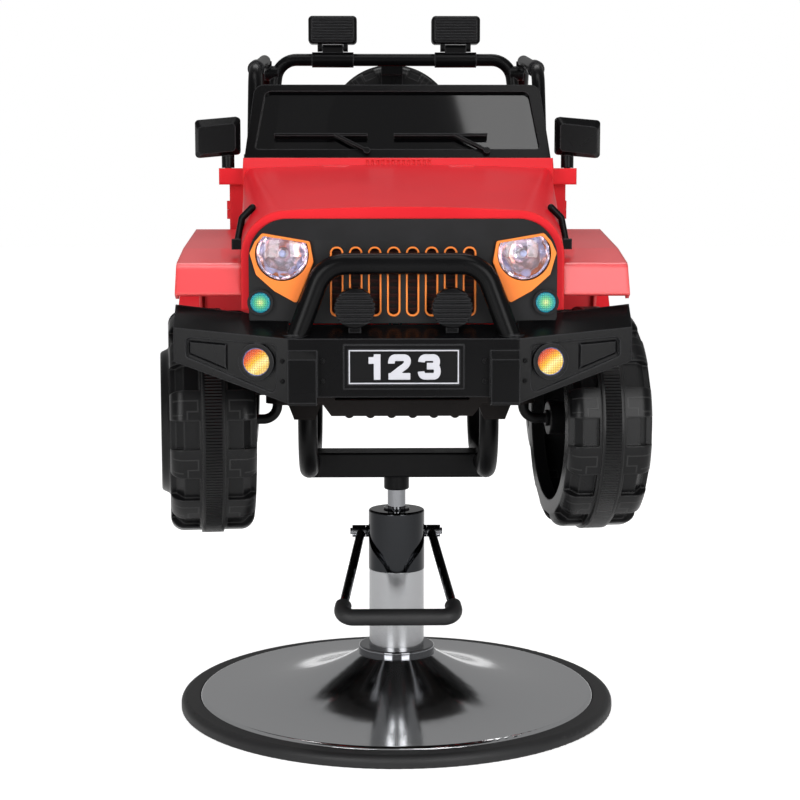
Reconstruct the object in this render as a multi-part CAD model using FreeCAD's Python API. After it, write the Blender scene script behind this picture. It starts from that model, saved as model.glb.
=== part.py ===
import FreeCAD, Part
import math
import os

# A children's styling chair: a small off-road car body carried on a hydraulic salon column.
# The row frame: origin on the floor under the column, +Z up, the car's nose towards -Y.
# Every length is in millimetres. Left is -X, right is +X, as seen from in front of the nose.

V = FreeCAD.Vector
X_AXIS = V(1, 0, 0)
Y_AXIS = V(0, 1, 0)
Z_AXIS = V(0, 0, 1)
ORIGIN = V(0, 0, 0)

# Clearances and cutting overruns
cut_over = 5.0
running_gap = 0.05
loose_gap = 0.3
panel_gap = 1.5
pin_gap = 0.2

# Main heights of the body, each measured from the piece that carries it
pan_bottom = 446.0
pan_depth = 30.0
body_height = 263.0
cowl_rise = 16.0
hood_rear_drop = 13.0
hood_slope_drop = 47.0
screen_seat = 0.6
mirror_arm_drop = 13.0
mirror_stand = 12.5
mirror_height = 53.5
hoop_rise = 159.0
side_tube_rise = 133.0
dash_drop = 3.0
wheel_centre_rise = 24.0
pan_nose_rise = 11.0
arm_foot_rise = 12.0
arm_rise = 11.0
horn_rise = 19.0
horn_height = 22.0
pod_drop = 14.0
throttle_hinge_rise = 14.0
seat_rise = 71.0
deck_rise = 151.0
door_sill_rise = 52.0
pan_ledge_height = pan_bottom + pan_depth
tub_bottom = pan_ledge_height
belt_height = tub_bottom + body_height
door_top = belt_height
cowl_top = belt_height + cowl_rise
hood_top_rear = cowl_top - hood_rear_drop
hood_top_front = hood_top_rear - hood_slope_drop
screen_base_z = cowl_top + screen_seat
mirror_arm_top = cowl_top - mirror_arm_drop
mirror_bottom = mirror_arm_top + mirror_stand
mirror_top = mirror_bottom + mirror_height
hoop_top = belt_height + hoop_rise
side_tube_top = belt_height + side_tube_rise
dash_top = cowl_top - dash_drop
wheel_centre_z = belt_height + wheel_centre_rise
pan_nose_low = pan_bottom + pan_nose_rise
arm_bottom = pan_bottom + arm_foot_rise
arm_top = pan_ledge_height + arm_rise
horn_bottom = pan_ledge_height + horn_rise
horn_top = horn_bottom + horn_height
pod_bottom = pan_bottom - pod_drop
rear_edge_bottom = pan_bottom
rear_edge_top = pan_ledge_height
throttle_hinge_z = tub_bottom + throttle_hinge_rise
seat_height = tub_bottom + seat_rise
deck_height = tub_bottom + deck_rise
door_bottom = tub_bottom + door_sill_rise

# Floor disc and its rubber ring
ring_radius = 300.0
ring_width = 26.0
ring_height = 17.0
ring_shoulder = 9.0
ring_foot_round = 3.0
disc_wall = 4.0
disc_rim_height = 20.0
disc_rim_round = 6.0
disc_rim_foot = 4.0
disc_seat_radius = 55.0
disc_seat_height = 72.0
disc_hole_radius = 12.0
dish_power = 2.6
dish_steps = 9
collar_radius = 52.5
collar_height = 11.0
collar_round = 2.5

# Pump column
tube_radius = 38.0
tube_wall = 3.0
tube_top = 191.0
cap_radius = 38.8
cap_wall = 4.0
cap_top = 274.0
cap_top_wall = 6.0
cap_round = 3.0
barrel_radius = 19.0
bore_radius = 15.0
barrel_top = 249.0
foot_height = 8.0
base_bolt_radius = 4.0
base_bolt_head_radius = 6.5
base_bolt_head_height = 5.3
base_bolt_depth = 6.0
base_bolt_circle = 27.5
rod_radius = 12.5
piston_height = 14.0
piston_rest_gap = 2.0
bush_radius = 18.0
bush_lip = 2.0

# Foot lever
shaft_radius = 5.5
shaft_wall_gap = 3.5
shaft_throw = 3.0
throw_half = 8.0
shaft_height = 237.0
pivot_bush_radius = 8.5
pivot_bush_start = 24.0
pivot_bush_end = 42.5
boss_radius = 8.5
boss_end = 61.5
boss_arm_place = 49.0
boss_bolt_radius = 4.5
boss_bolt_height = 3.0
arm_radius = 6.2
grip_reach = 178.0
grip_drop = 80.0
grip_half = 76.0
grip_radius = 11.0
grip_bend = 15.0
grip_sock = 26.0
plunger_radius = 4.0
plunger_height = 34.0
plunger_gap = 0.5
guide_wall = 2.5
guide_height = 18.0

# Hub, beam and cradle
hub_radius = 17.3
hub_bottom = 302.0
hub_socket_top = 343.0
beam_bottom = 321.5
beam_height = 34.0
beam_depth = 50.0
beam_wall = 3.0
cradle_tube_radius = 12.5
cradle_wall = 2.5
cradle_half = 117.5
cradle_reach = 150.0
cradle_bend = 70.0
cradle_run_height = 344.5
cradle_plate_length = 78.0
cradle_plate_width = 36.0
cradle_plate = 4.0
cradle_bolt_radius = 4.0
cradle_bolt_head_radius = 7.0
cradle_bolt_head = 5.0
cradle_bolt_spread = 29.0

# Floor pan
pan_wall = 4.0
pan_front = -398.0
pan_rear = 424.0
pan_rib_count = 6
pan_rib_pitch = 24.5
pan_rib_radius = 6.0
pan_rib_stand = 2.5

# Nose: hood, cowl, fenders
body_wall = 4.0
hood_front = -437.0
hood_rear = -150.0
hood_half_front = 182.0
hood_half_rear = 196.5
hood_corner_front = 52.0
hood_corner_rear = 14.0
hood_crown = 4.0
hood_skirt = 583.0
rim_depth = 12.0
rim_width = 9.5
hinge_place = 80.0
hinge_half = 16.5
hinge_radius = 5.0
cowl_half = 198.0
cowl_rear = -50.0
cowl_slope_end = -139.0
cowl_vent_count = 13
cowl_vent_width = 3.4
cowl_vent_pitch = 6.6
cowl_vent_depth = 1.6
cowl_vent_edge = 3.0
hinge_drop = 5.0
mirror_arm_end = 230.0
mirror_arm_height = 21.0
mirror_arm_front = -128.0
mirror_arm_rear = -102.0
fender_half = 257.0
fender_wall = 4.0

# Grille and lamps in it
grille_face = -452.0
grille_wall = 5.0
grille_top_back = -432.0
grille_crease = 662.0
grille_bottom = 569.0
slot_count = 8
slot_pitch = 21.2
slot_width = 15.0
slot_top = 655.0
slot_bottom = 577.0
slot_rim = 2.0
insert_wall = 3.0
insert_stand = 1.0
mesh_wall = 2.0
headlamp_x = 135.0
headlamp_z = 647.0
headlamp_radius = 30.0
headlamp_lid = 3.5
bezel_stand = 6.0
lens_bulge = 9.0
lens_wall = 2.5
bowl_depth = 26.0
bowl_wall = 2.0
bulb_radius = 6.0
signal_x = 159.5
signal_z = 593.0
signal_radius = 14.5
signal_lens_radius = 11.7
signal_stand = 7.0
signal_lens_stand = 2.0

# Front bumper, bull bar and spot lamps
bumper_half = 128.0
bumper_face = -488.0
bumper_top = 555.0
bumper_bottom = 490.0
bumper_back = -453.4
bumper_back_top = 568.0
bumper_wall = 5.0
wing_end_half = 257.0
wing_end_face = -457.0
wing_end_top = 565.0
wing_end_bottom = 527.0
wing_end_back = -427.0
wing_end_back_top = 589.0
wing_root_back = -446.0
wing_root_back_top = 575.0
wing_root_bottom = 483.0
wing_recess = 4.0
fog_x = 163.0
fog_z = 529.0
fog_radius = 15.6
fog_rim = 5.0
fog_stand = 3.0
post_x = 112.0
post_half = 16.0
post_top = 533.0
post_bottom = 482.0
post_front = -500.0
post_chamfer = 3.0
plate_width = 123.0
plate_height = 39.0
plate_z = 524.0
plate_wall = 2.0
plate_frame = 5.0
plate_frame_stand = 3.0
bull_radius = 12.0
bull_wall = 2.0
bull_foot_half = 122.5
bull_top_half = 87.7
bull_top = 637.0
bull_y = -474.0
bull_bend = 36.0
bull_foot_radius = 13.5
bull_foot_height = 4.0
spot_x = 54.0
spot_z = 588.0
spot_radius = 22.5
spot_front = -481.0
spot_depth = 20.0
spot_round = 3.0

# Windscreen
screen_base_y = -92.0
screen_height = 103.0
screen_lean = 26.0
screen_half_top = 187.5
screen_half_bottom = 200.0
screen_corner = 14.0
screen_thick = 14.0
screen_top_bar = 10.0
screen_side_bar = 14.5
screen_bottom_bar = 9.0
glass_wall = 3.0
glass_corner = 9.0
wiper_radius = 2.0
wiper_half = 61.0
wiper_height = 28.0
wiper_places = (-100.0, 56.0)
wiper_arm_shift = 60.0

# Roll cage and roof lamps
cage_radius = 8.8
hoop_y = 200.0
hoop_half_top = 168.0
hoop_half_bottom = 188.0
hoop_bend = 30.0
side_tube_bend = 40.0
stay_rear = 396.0
cage_foot_radius = 13.0
cage_foot_height = 5.0
clip_radius = 11.5
clip_length = 26.0
lamp_x = 89.0
lamp_sleeve_radius = 11.0
lamp_sleeve_half = 30.0
lamp_width = 70.0
lamp_height = 40.0
lamp_depth = 34.0
lamp_round = 6.0
lamp_pivot_rise = 16.5
lamp_ear_radius = 5.0
lamp_ear = 15.0
lamp_lug_half = 22.0
lamp_pin_radius = 3.0
lamp_louvre_count = 9
lamp_louvre_depth = 1.5

# Mirrors
mirror_axis_x = 219.0
mirror_axis_y = -115.0
mirror_stalk_radius = 8.2
mirror_pin_radius = 4.0
mirror_pin_depth = 13.0
mirror_inner = 203.5
mirror_outer = 260.5
mirror_front_y = -131.0
mirror_back_y = -101.0
mirror_taper = 9.0
mirror_round = 5.0

# Tub
tub_half = 218.0
tub_front = -108.0
tub_rear = 430.0
belt_rail = 24.0
door_front = -44.0
door_rear = 132.0
door_corner = 26.0
arch_inner = 202.0
arch_outer = 314.0
arch_wall = 4.0
arch_lip = 12.0
deck_front = 262.0
tail_lamp_x = 202.0
tail_lamp_width = 30.0
tail_lamp_height = 62.0
tail_lamp_z = 651.0
tail_lamp_stand = 12.0
tail_lamp_round = 4.0

# Doors
door_thick = 14.0
door_hinge_out = 4.5
door_hinge_radius = 4.0
door_hinge_half = 12.0
door_hinge_heights = (577.0, 687.0)
door_pull_length = 44.0
door_pull_height = 12.0

# Cockpit
dash_front = -50.0
dash_rear = -28.0
dash_half = 193.5
dash_bottom = 627.0
dash_round = 6.0
wheel_centre_y = 22.0
wheel_lean = 49.0
wheel_rim_radius = 82.0
wheel_grip_radius = 9.0
wheel_hub_radius = 30.0
wheel_hub_height = 22.0
wheel_spoke_width = 20.0
wheel_spoke = 8.0
button_radius = 20.0
button_height = 7.0
button_stand = 4.0
button_travel = 3.0
column_radius = 6.0
column_length = 296.0
column_sleeve_radius = 14.0
crank_length = 15.0
crank_pin_radius = 4.0
crank_pin_length = 18.0
seat_half = 126.0
seat_front = 24.0
seat_rear = 204.0
seat_wall = 4.0
seat_back_top = 787.0
seat_back_lean = 14.0
seat_back_thick = 16.0
cushion_thick = 30.0
cushion_inset = 14.0
cushion_bulge = 4.0
cushion_shoulder = 13.0
throttle_x = 58.0
throttle_width = 58.0
throttle_length = 84.0
throttle_thick = 8.0
throttle_rise = 24.0
throttle_pin_radius = 3.0
throttle_pin_lift = 12.0

# Wheels and steering
wheel_radius = 136.0
axle_height = 438.0
front_axle_y = -280.0
rear_axle_y = 280.0
front_wheel_x = 231.0
rear_wheel_x = 260.0
wheel_width = 100.0
wheel_shoulder = 16.0
rib_width = 26.0
rib_stand = 3.0
wheel_face_radius = 88.0
wheel_face_out = 10.0
wheel_mouth_radius = 100.0
nut_recess = 12.0
wheel_bore_wall = 14.0
lug_count = 12
lug_depth = 7.0
lug_width_share = 0.52
axle_radius = 6.0
axle_nut_radius = 10.0
axle_nut_height = 8.0
kingpin_x = 150.0
knuckle_bend = 17.0
tower_radius = 14.0
tower_top = 527.0
steer_rest = 6.3
steer_arm = 45.0
steer_arm_wall = 5.0
steer_arm_half = 8.0
steer_pin_radius = 4.0
steer_pin_height = 11.0
tie_wall = 5.0
tie_half = 8.0
fork_wall = 3.0
fork_slack = 2.6
fork_height = 14.0
rear_axle_radius = 6.0
axle_spacer_radius = 7.4

# Spare wheel on the tail
spare_radius = 104.0
spare_width = 56.0
spare_z = 802.0
spare_face_radius = 66.0
spare_rear = 500.0
carrier_wall = 6.0
carrier_half = 34.0
brake_lamp_half = 17.0
brake_lamp_height = 18.0
brake_lamp_depth = 20.0


# Floor pan details
pan_ledge_low = 82.0
pan_nose_half = 96.0
pan_step = -196.0
pan_middle_half = 130.0
arm_half = 26.0
horn_half = 13.0
pod_x = 118.0
pod_half = 30.0
pod_foot = 13.0
pod_front = -245.0
pod_rear = -192.0
pod_groove = 3.6
pod_groove_count = 6
pod_groove_depth = 14.0
hanger_inner = 140.0
hanger_outer = 160.0
hanger_half = 13.0
hanger_drop = 13.0
rear_edge_half = 196.0
rear_edge_depth = 44.0
rear_edge_round = 8.0

# Hood, latch and fender details
hood_corner_least = 10.0
cowl_sill = 687.0
latch_x = (172.0, 184.0, 190.0)
latch_z = (697.0, 685.0, 655.0)
latch_y = -380.0
latch_bend = 6.0
latch_radius = 4.0
latch_block = 6.0
fender_ys = (-436.0, -414.0, -330.0, -150.0, -106.0)
fender_zs = (601.0, 634.0, 648.0, 666.0, 532.0)
fender_shift_y = (3.2, 2.0, 1.0, -4.0, -4.2)
fender_shift_z = (-2.6, -3.8, -4.0, -3.8, -1.3)
fender_lip_y = (11.0, 7.0, 4.0, -13.0, -12.6)
fender_lip_z = (-6.0, -10.5, -12.0, -10.0, -3.0)
fender_turn = 14.0
fender_inner = 150.0

# Grille details
grille_rear = -437.0
grille_foot_round = 8.0
slot_flat = 0.4
housing_xs = (157.0, 104.0, 100.0, 119.0, 144.0, 164.0, 171.0, 165.0)
housing_zs = (670.0, 661.0, 638.0, 592.0, 606.0, 624.0, 648.0, 661.0)
housing_round = 3.0
insert_border = 3.0
link_reach = 112.0
mesh_pitch = 4.0
lens_set = 5.0
bulb_gap = 8.0

# Bumper details
recess_xs = (141.0, 243.0, 243.0, 141.0)
recess_zs = (493.0, 533.0, 555.0, 548.0)
recess_round = 6.0
fog_lens_stand = 1.0
post_drop = 13.0
bull_sink = 10.0
spot_foot = 7.0
spot_louvre_count = 7
spot_louvre_pitch = 5.0
spot_louvre_gap = 2.0
spot_louvre_depth = 3.0

# Screen, cage and mirror details
screen_sink = 12.0
screen_foot_round = 4.0
wiper_arm_meet = 18.0
wiper_pivot_radius = 4.5
pillar_foot_x = 189.0
pillar_foot_y = -64.0
pillar_top_x = 189.5
pillar_top_y = -14.0
cage_corner_out = 20.0
cage_corner_down = 2.0
cage_clamp_down = 17.0
cage_clamp_radius = 10.5
stay_foot_x = 198.0
clip_share = 0.12
mirror_rim = 4.0

# Tub details
tub_wall = 6.0
tub_corner = 22.0
bulkhead_half = 126.0
bulkhead_front = -184.0
bulkhead_top = 677.0
arch_radius = 152.0
arch_low = 24.0
door_axis_y = -44.0
hinge_leaf = 9.0
door_pin_radius = 2.0
door_pull_in = 16.0
door_pull_stand = 8.0
door_pull_z = 687.0
door_pull_round = 3.0

# Cockpit details
steering_ratio = 3.0
sleeve_start = 34.0
sleeve_length = 60.0
gauge_x = 90.0
gauge_z = 699.0
gauge_radius = 30.0
gauge_stand = 5.0
spoke_degrees = (0.0, 90.0, 180.0)
seat_taper = 16.0
seat_corner = 30.0
cushion_side_share = 0.72
cushion_place_shares = (0.0, 0.07, 0.28, 0.72, 0.93, 1.0)
cushion_width_shares = (0.93, 0.985, 1.0, 1.0, 0.985, 0.93)
cushion_height_shares = (0.46, 0.82, 1.0, 1.0, 0.82, 0.46)
throttle_hinge_y = -92.0
throttle_ear = 6.0
throttle_ear_top = 2.0
throttle_round = 3.0
throttle_rib = 4.0
throttle_rib_count = 5

# Wheel and tail details
wheel_web = 3.0
wheel_tread_wall = 6.0
wheel_lip_round = 4.0
lug_start = 3.0
window_inner = 34.0
window_outer = 70.0
window_count = 6
window_spoke = 18.0
collar_wall = 3.0
fork_reach = 42.0
carrier_bottom = 677.0
spare_bore = 8.0
spare_dish = 12.0
spare_knob = 16.0
spare_shoulder = 14.0
spare_rib = 8.0
spare_lug_depth = 5.0
spare_lug_count = 16
tail_lamp_in = 4.0


def box(x0, x1, y0, y1, z0, z1):
    return Part.makeBox(x1 - x0, y1 - y0, z1 - z0, V(x0, y0, z0))


def cylinder(start, direction, radius, length):
    return Part.makeCylinder(radius, length, start, direction)


def between(start, end, radius):
    run = end - start
    return Part.makeCylinder(radius, run.Length, start, run)


def mirrored(shape):
    return shape.mirror(ORIGIN, X_AXIS)


def pair(shape):
    return Part.makeCompound([shape, mirrored(shape)])


def in_plane(plane, place):
    # Turns a flat point into a point of space: plane "xz" at a y, "yz" at an x, "xy" at a z.
    def lift(point):
        u, w = point
        return {"xz": V(u, place, w), "yz": V(place, u, w), "xy": V(u, w, place)}[plane]
    return lift


def corner_cut(before, corner, after, radius):
    # The two tangent points and the middle of the arc that rounds one corner.
    a = (before - corner).normalize()
    b = (after - corner).normalize()
    half = a.getAngle(b) / 2
    back = radius / math.tan(half)
    middle = corner + (a + b).normalize() * (radius / math.sin(half) - radius)
    return corner + a * back, middle, corner + b * back


def outline(points, radii, plane, place):
    # A closed wire through flat points, each corner rounded by its radius.
    if not isinstance(radii, (list, tuple)):
        radii = [radii] * len(points)
    lift = in_plane(plane, place)
    at = [lift(p) for p in points]
    count = len(at)
    edges = []
    spans = []
    for i in range(count):
        if radii[i] > 0:
            spans.append(corner_cut(at[i - 1], at[i], at[(i + 1) % count], radii[i]))
        else:
            spans.append((at[i], None, at[i]))
    for i in range(count):
        start, middle, end = spans[i]
        if middle is not None:
            edges.append(Part.Arc(start, middle, end).toShape())
        following = spans[(i + 1) % count][0]
        if (following - end).Length > 1e-6:
            edges.append(Part.LineSegment(end, following).toShape())
    return Part.Wire(Part.__sortEdges__(edges))


def prism(points, radii, plane, start, end):
    # The outline pushed straight through from start to end along the plane's own axis.
    push = {"xz": Y_AXIS, "yz": X_AXIS, "xy": Z_AXIS}[plane] * (end - start)
    return Part.Face(outline(points, radii, plane, start)).extrude(push)


def pipe_path(points, bend):
    bends = bend if isinstance(bend, (list, tuple)) else [bend] * (len(points) - 2)
    edges = []
    here = points[0]
    for i in range(1, len(points) - 1):
        start, middle, end = corner_cut(points[i - 1], points[i], points[i + 1], bends[i - 1])
        edges.append(Part.LineSegment(here, start).toShape())
        edges.append(Part.Arc(start, middle, end).toShape())
        here = end
    edges.append(Part.LineSegment(here, points[-1]).toShape())
    return Part.Wire(edges)


def bent_bar(points, bend, radius):
    path = pipe_path(points, bend)
    ring = Part.Wire(Part.makeCircle(radius, points[0], points[1] - points[0]))
    return path.makePipeShell([ring], True, False)


def bent_tube(points, bend, radius, wall):
    return bent_bar(points, bend, radius).cut(bent_bar(points, bend, radius - wall))


def round_edges(shape, radius, wanted):
    return shape.makeFillet(radius, [e for e in shape.Edges if wanted(e)])


def on_plane(edge, axis, value):
    box_of = edge.BoundBox
    low = {"x": box_of.XMin, "y": box_of.YMin, "z": box_of.ZMin}[axis]
    high = {"x": box_of.XMax, "y": box_of.YMax, "z": box_of.ZMax}[axis]
    return abs(low - value) < 1e-3 and abs(high - value) < 1e-3


def spun(points, radii, axis_start, axis):
    # Revolves a profile of (radius, height) points about Z, then stands it on its axis.
    face = Part.Face(outline(points, radii, "xz", 0.0))
    body = face.revolve(ORIGIN, Z_AXIS, 360)
    turn = FreeCAD.Rotation(Z_AXIS, axis)
    body.Placement = FreeCAD.Placement(axis_start, turn)
    return body


def turned(shape, centre, axis, degrees):
    copy = shape.copy()
    copy.rotate(centre, axis, degrees)
    return copy


# Floor disc, ring, collar and bolts
disc_radius = ring_radius - ring_width


def dish_height(radius):
    share = (disc_radius - radius) / (disc_radius - disc_seat_radius)
    return disc_rim_height + (disc_seat_height - disc_rim_height) * share ** dish_power


def make_base_disc():
    rim_start = disc_radius - disc_rim_round
    reach = rim_start - disc_seat_radius
    radii = [disc_seat_radius + reach * i / dish_steps for i in range(dish_steps + 1)]
    top = Part.BSplineCurve()
    top.interpolate([V(r, 0, dish_height(r)) for r in radii])
    under = Part.BSplineCurve()
    under.interpolate([V(r, 0, dish_height(r) - disc_wall) for r in reversed(radii[:-1])])
    end_height = dish_height(rim_start)
    rim_turn = disc_rim_round * math.sqrt(0.5)
    corner = V(rim_start + rim_turn, 0, end_height - disc_rim_round + rim_turn)
    side_top = V(disc_radius, 0, end_height - disc_rim_round)
    side_foot = V(disc_radius, 0, disc_rim_foot)
    inner_foot = V(disc_radius - disc_wall, 0, disc_rim_foot)
    inner_side = V(disc_radius - disc_wall, 0, end_height - disc_rim_round)
    under_end = V(radii[-2], 0, dish_height(radii[-2]) - disc_wall)
    seat_under = V(disc_seat_radius, 0, disc_seat_height - disc_wall)
    hole_under = V(disc_hole_radius, 0, disc_seat_height - disc_wall)
    hole_top = V(disc_hole_radius, 0, disc_seat_height)
    seat_top = V(disc_seat_radius, 0, disc_seat_height)
    edges = [
        Part.LineSegment(hole_top, seat_top).toShape(),
        top.toShape(),
        Part.Arc(V(rim_start, 0, end_height), corner, side_top).toShape(),
        Part.LineSegment(side_top, side_foot).toShape(),
        Part.LineSegment(side_foot, inner_foot).toShape(),
        Part.LineSegment(inner_foot, inner_side).toShape(),
        Part.LineSegment(inner_side, under_end).toShape(),
        under.toShape(),
        Part.LineSegment(seat_under, hole_under).toShape(),
        Part.LineSegment(hole_under, hole_top).toShape(),
    ]
    disc = Part.Face(Part.Wire(edges)).revolve(ORIGIN, Z_AXIS, 360)
    for place in bolt_places(base_bolt_circle):
        start = V(place.x, place.y, disc_seat_height - disc_wall - cut_over)
        disc = disc.cut(cylinder(start, Z_AXIS, base_bolt_radius + pin_gap, disc_wall + 2 * cut_over))
    return disc


def make_base_ring():
    inner = disc_radius
    points = [(inner, 0), (ring_radius, 0), (ring_radius, ring_height), (inner, ring_height)]
    return spun(points, [0, ring_foot_round, ring_shoulder, 0], ORIGIN, Z_AXIS)


def bolt_places(circle):
    angles = [math.radians(45 + 90 * i) for i in range(4)]
    return [V(circle * math.cos(a), circle * math.sin(a), 0) for a in angles]


def make_base_collar():
    inner = tube_radius
    top = disc_seat_height + collar_height
    points = [(inner, disc_seat_height), (collar_radius, disc_seat_height), (collar_radius, top),
              (inner, top)]
    return spun(points, [0, 0, collar_round, 0], ORIGIN, Z_AXIS)


def make_base_bolts():
    bolts = []
    head_top = disc_seat_height - disc_wall
    for place in bolt_places(base_bolt_circle):
        head = spun_hex(V(place.x, place.y, head_top - base_bolt_head_height),
                        base_bolt_head_radius, base_bolt_head_height)
        shank = cylinder(V(place.x, place.y, head_top), Z_AXIS, base_bolt_radius,
                         disc_wall + base_bolt_depth)
        bolts.append(head.fuse(shank).removeSplitter())
    return Part.makeCompound(bolts)


def spun_hex(start, radius, height):
    corners = [V(start.x + radius * math.cos(math.radians(60 * i)),
                 start.y + radius * math.sin(math.radians(60 * i)), start.z) for i in range(6)]
    return Part.Face(Part.makePolygon(corners + [corners[0]])).extrude(V(0, 0, height))


# Pump column
foot_top = disc_seat_height + foot_height
shaft_offset = barrel_radius + shaft_wall_gap + shaft_radius
piston_bottom = foot_top + piston_rest_gap
rod_top = hub_socket_top - loose_gap


def make_pump_tube():
    outer = cylinder(V(0, 0, disc_seat_height), Z_AXIS, tube_radius, tube_top - disc_seat_height)
    inner = cylinder(V(0, 0, disc_seat_height - cut_over), Z_AXIS, tube_radius - tube_wall,
                     tube_top - disc_seat_height + 2 * cut_over)
    return outer.cut(inner)


def make_pump_cap():
    inner = cap_radius - cap_wall
    roof = cap_top - cap_top_wall
    gland = rod_radius + running_gap
    points = [(gland, barrel_top), (bush_radius, barrel_top), (bush_radius, roof), (inner, roof),
              (inner, tube_top),
              (cap_radius, tube_top), (cap_radius, cap_top), (bush_radius, cap_top),
              (bush_radius, cap_top + bush_lip), (gland, cap_top + bush_lip)]
    cap = spun(points, [0, 0, 0, 0, 0, 0, cap_round, 0, 0, 0], ORIGIN, Z_AXIS)
    for side in (-1, 1):
        cap = cap.fuse(cylinder(V(side * pivot_bush_start, shaft_offset, shaft_height), X_AXIS * side,
                                pivot_bush_radius, pivot_bush_end - pivot_bush_start))
    hole = cylinder(V(-pivot_bush_end - cut_over, shaft_offset, shaft_height), X_AXIS,
                    shaft_radius + running_gap,
                    2 * (pivot_bush_end + cut_over))
    return cap.cut(hole).removeSplitter()


def make_pump_cylinder():
    barrel = cylinder(V(0, 0, disc_seat_height), Z_AXIS, barrel_radius, barrel_top - disc_seat_height)
    foot = cylinder(V(0, 0, disc_seat_height), Z_AXIS, tube_radius - tube_wall, foot_height)
    plunger_foot = shaft_height - shaft_radius - plunger_gap - plunger_height
    guide_radius = plunger_radius + guide_wall
    guide = cylinder(V(0, shaft_offset, plunger_foot), Z_AXIS, guide_radius, guide_height)
    web = box(-guide_radius / 2, guide_radius / 2, 0, shaft_offset, plunger_foot,
              plunger_foot + guide_height)
    body = barrel.fuse([foot, guide, web])
    body = body.cut(cylinder(V(0, 0, foot_top), Z_AXIS, bore_radius, barrel_top - foot_top + cut_over))
    body = body.cut(cylinder(V(0, shaft_offset, plunger_foot - cut_over), Z_AXIS,
                             plunger_radius + running_gap,
                             guide_height + 2 * cut_over))
    for place in bolt_places(base_bolt_circle):
        start = V(place.x, place.y, disc_seat_height - cut_over)
        body = body.cut(cylinder(start, Z_AXIS, base_bolt_radius + running_gap,
                                 cut_over + base_bolt_depth + loose_gap))
    return body


def make_piston_rod():
    rod = cylinder(V(0, 0, piston_bottom), Z_AXIS, rod_radius, rod_top - piston_bottom)
    head = cylinder(V(0, 0, piston_bottom), Z_AXIS, bore_radius - running_gap, piston_height)
    return rod.fuse(head).removeSplitter()


# Foot lever
def frame_path(reach):
    # The lever's bent frame from one arm over the foot bar to the other, each arm as long as reach.
    top = V(boss_arm_place, shaft_offset, shaft_height)
    low = V(grip_half, shaft_offset - grip_reach, shaft_height - grip_drop)
    up = top - low
    end = low + up.normalize() * reach
    return [V(-end.x, end.y, end.z), V(-low.x, low.y, low.z), low, end]


def make_pedal_lever():
    shaft = cylinder(V(-boss_end, shaft_offset, shaft_height), X_AXIS, shaft_radius, 2 * boss_end)
    boss_start = pivot_bush_end + loose_gap
    middle = cylinder(V(-throw_half, shaft_offset, shaft_height), X_AXIS, shaft_radius, 2 * throw_half)
    shaft = shaft.cut(middle)
    pieces = [cylinder(V(-throw_half, shaft_offset - shaft_throw, shaft_height), X_AXIS, shaft_radius,
                       2 * throw_half)]
    for side in (1, -1):
        start = V(side * boss_start, shaft_offset, shaft_height)
        pieces.append(cylinder(start, X_AXIS * side, boss_radius, boss_end - boss_start))
        pieces.append(cylinder(V(side * boss_end, shaft_offset, shaft_height), X_AXIS * side,
                               boss_bolt_radius, boss_bolt_height))
    arm = V(grip_half - boss_arm_place, grip_reach, grip_drop).Length
    pieces.append(bent_bar(frame_path(arm), grip_bend, arm_radius))
    return shaft.fuse(pieces).removeSplitter()


def make_pedal_grip():
    sleeve = bent_bar(frame_path(grip_sock), grip_bend, grip_radius)
    return sleeve.cut(bent_bar(frame_path(grip_sock + cut_over), grip_bend, arm_radius))


def make_pump_plunger():
    top = shaft_height - shaft_radius - plunger_gap
    return cylinder(V(0, shaft_offset, top - plunger_height), Z_AXIS, plunger_radius, plunger_height)


# Hub, beam and cradle
def make_rod_hub():
    beam_top = beam_bottom + beam_height
    hub = cylinder(V(0, 0, hub_bottom), Z_AXIS, hub_radius, beam_top - beam_wall - hub_bottom)
    hub = round_edges(hub, collar_round, lambda e: on_plane(e, "z", hub_bottom))
    bore = cylinder(V(0, 0, hub_bottom - cut_over), Z_AXIS, rod_radius + running_gap,
                    hub_socket_top - hub_bottom + cut_over)
    return hub.cut(bore)


def cradle_points(side):
    top = pan_bottom - cradle_plate
    return [V(side * cradle_half, -cradle_reach, top),
            V(side * cradle_half, -cradle_reach, cradle_run_height),
            V(side * cradle_half, cradle_reach, cradle_run_height), V(side * cradle_half, cradle_reach, top)]


def make_cradle_tubes():
    tubes = []
    for side in (-1, 1):
        tube = bent_tube(cradle_points(side), cradle_bend, cradle_tube_radius, cradle_wall)
        for y in (-cradle_reach, cradle_reach):
            low = pan_bottom - cradle_plate
            centre = side * cradle_half
            plate = box(centre - cradle_plate_width / 2, centre + cradle_plate_width / 2,
                        y - cradle_plate_length / 2, y + cradle_plate_length / 2, low, pan_bottom)
            for shift in (-cradle_bolt_spread, cradle_bolt_spread):
                plate = plate.cut(cylinder(V(centre, y + shift, low - cut_over), Z_AXIS,
                                           cradle_bolt_radius + running_gap, cradle_plate + 2 * cut_over))
            tube = tube.fuse(plate)
        tubes.append(tube.removeSplitter())
    return Part.makeCompound(tubes)


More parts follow.
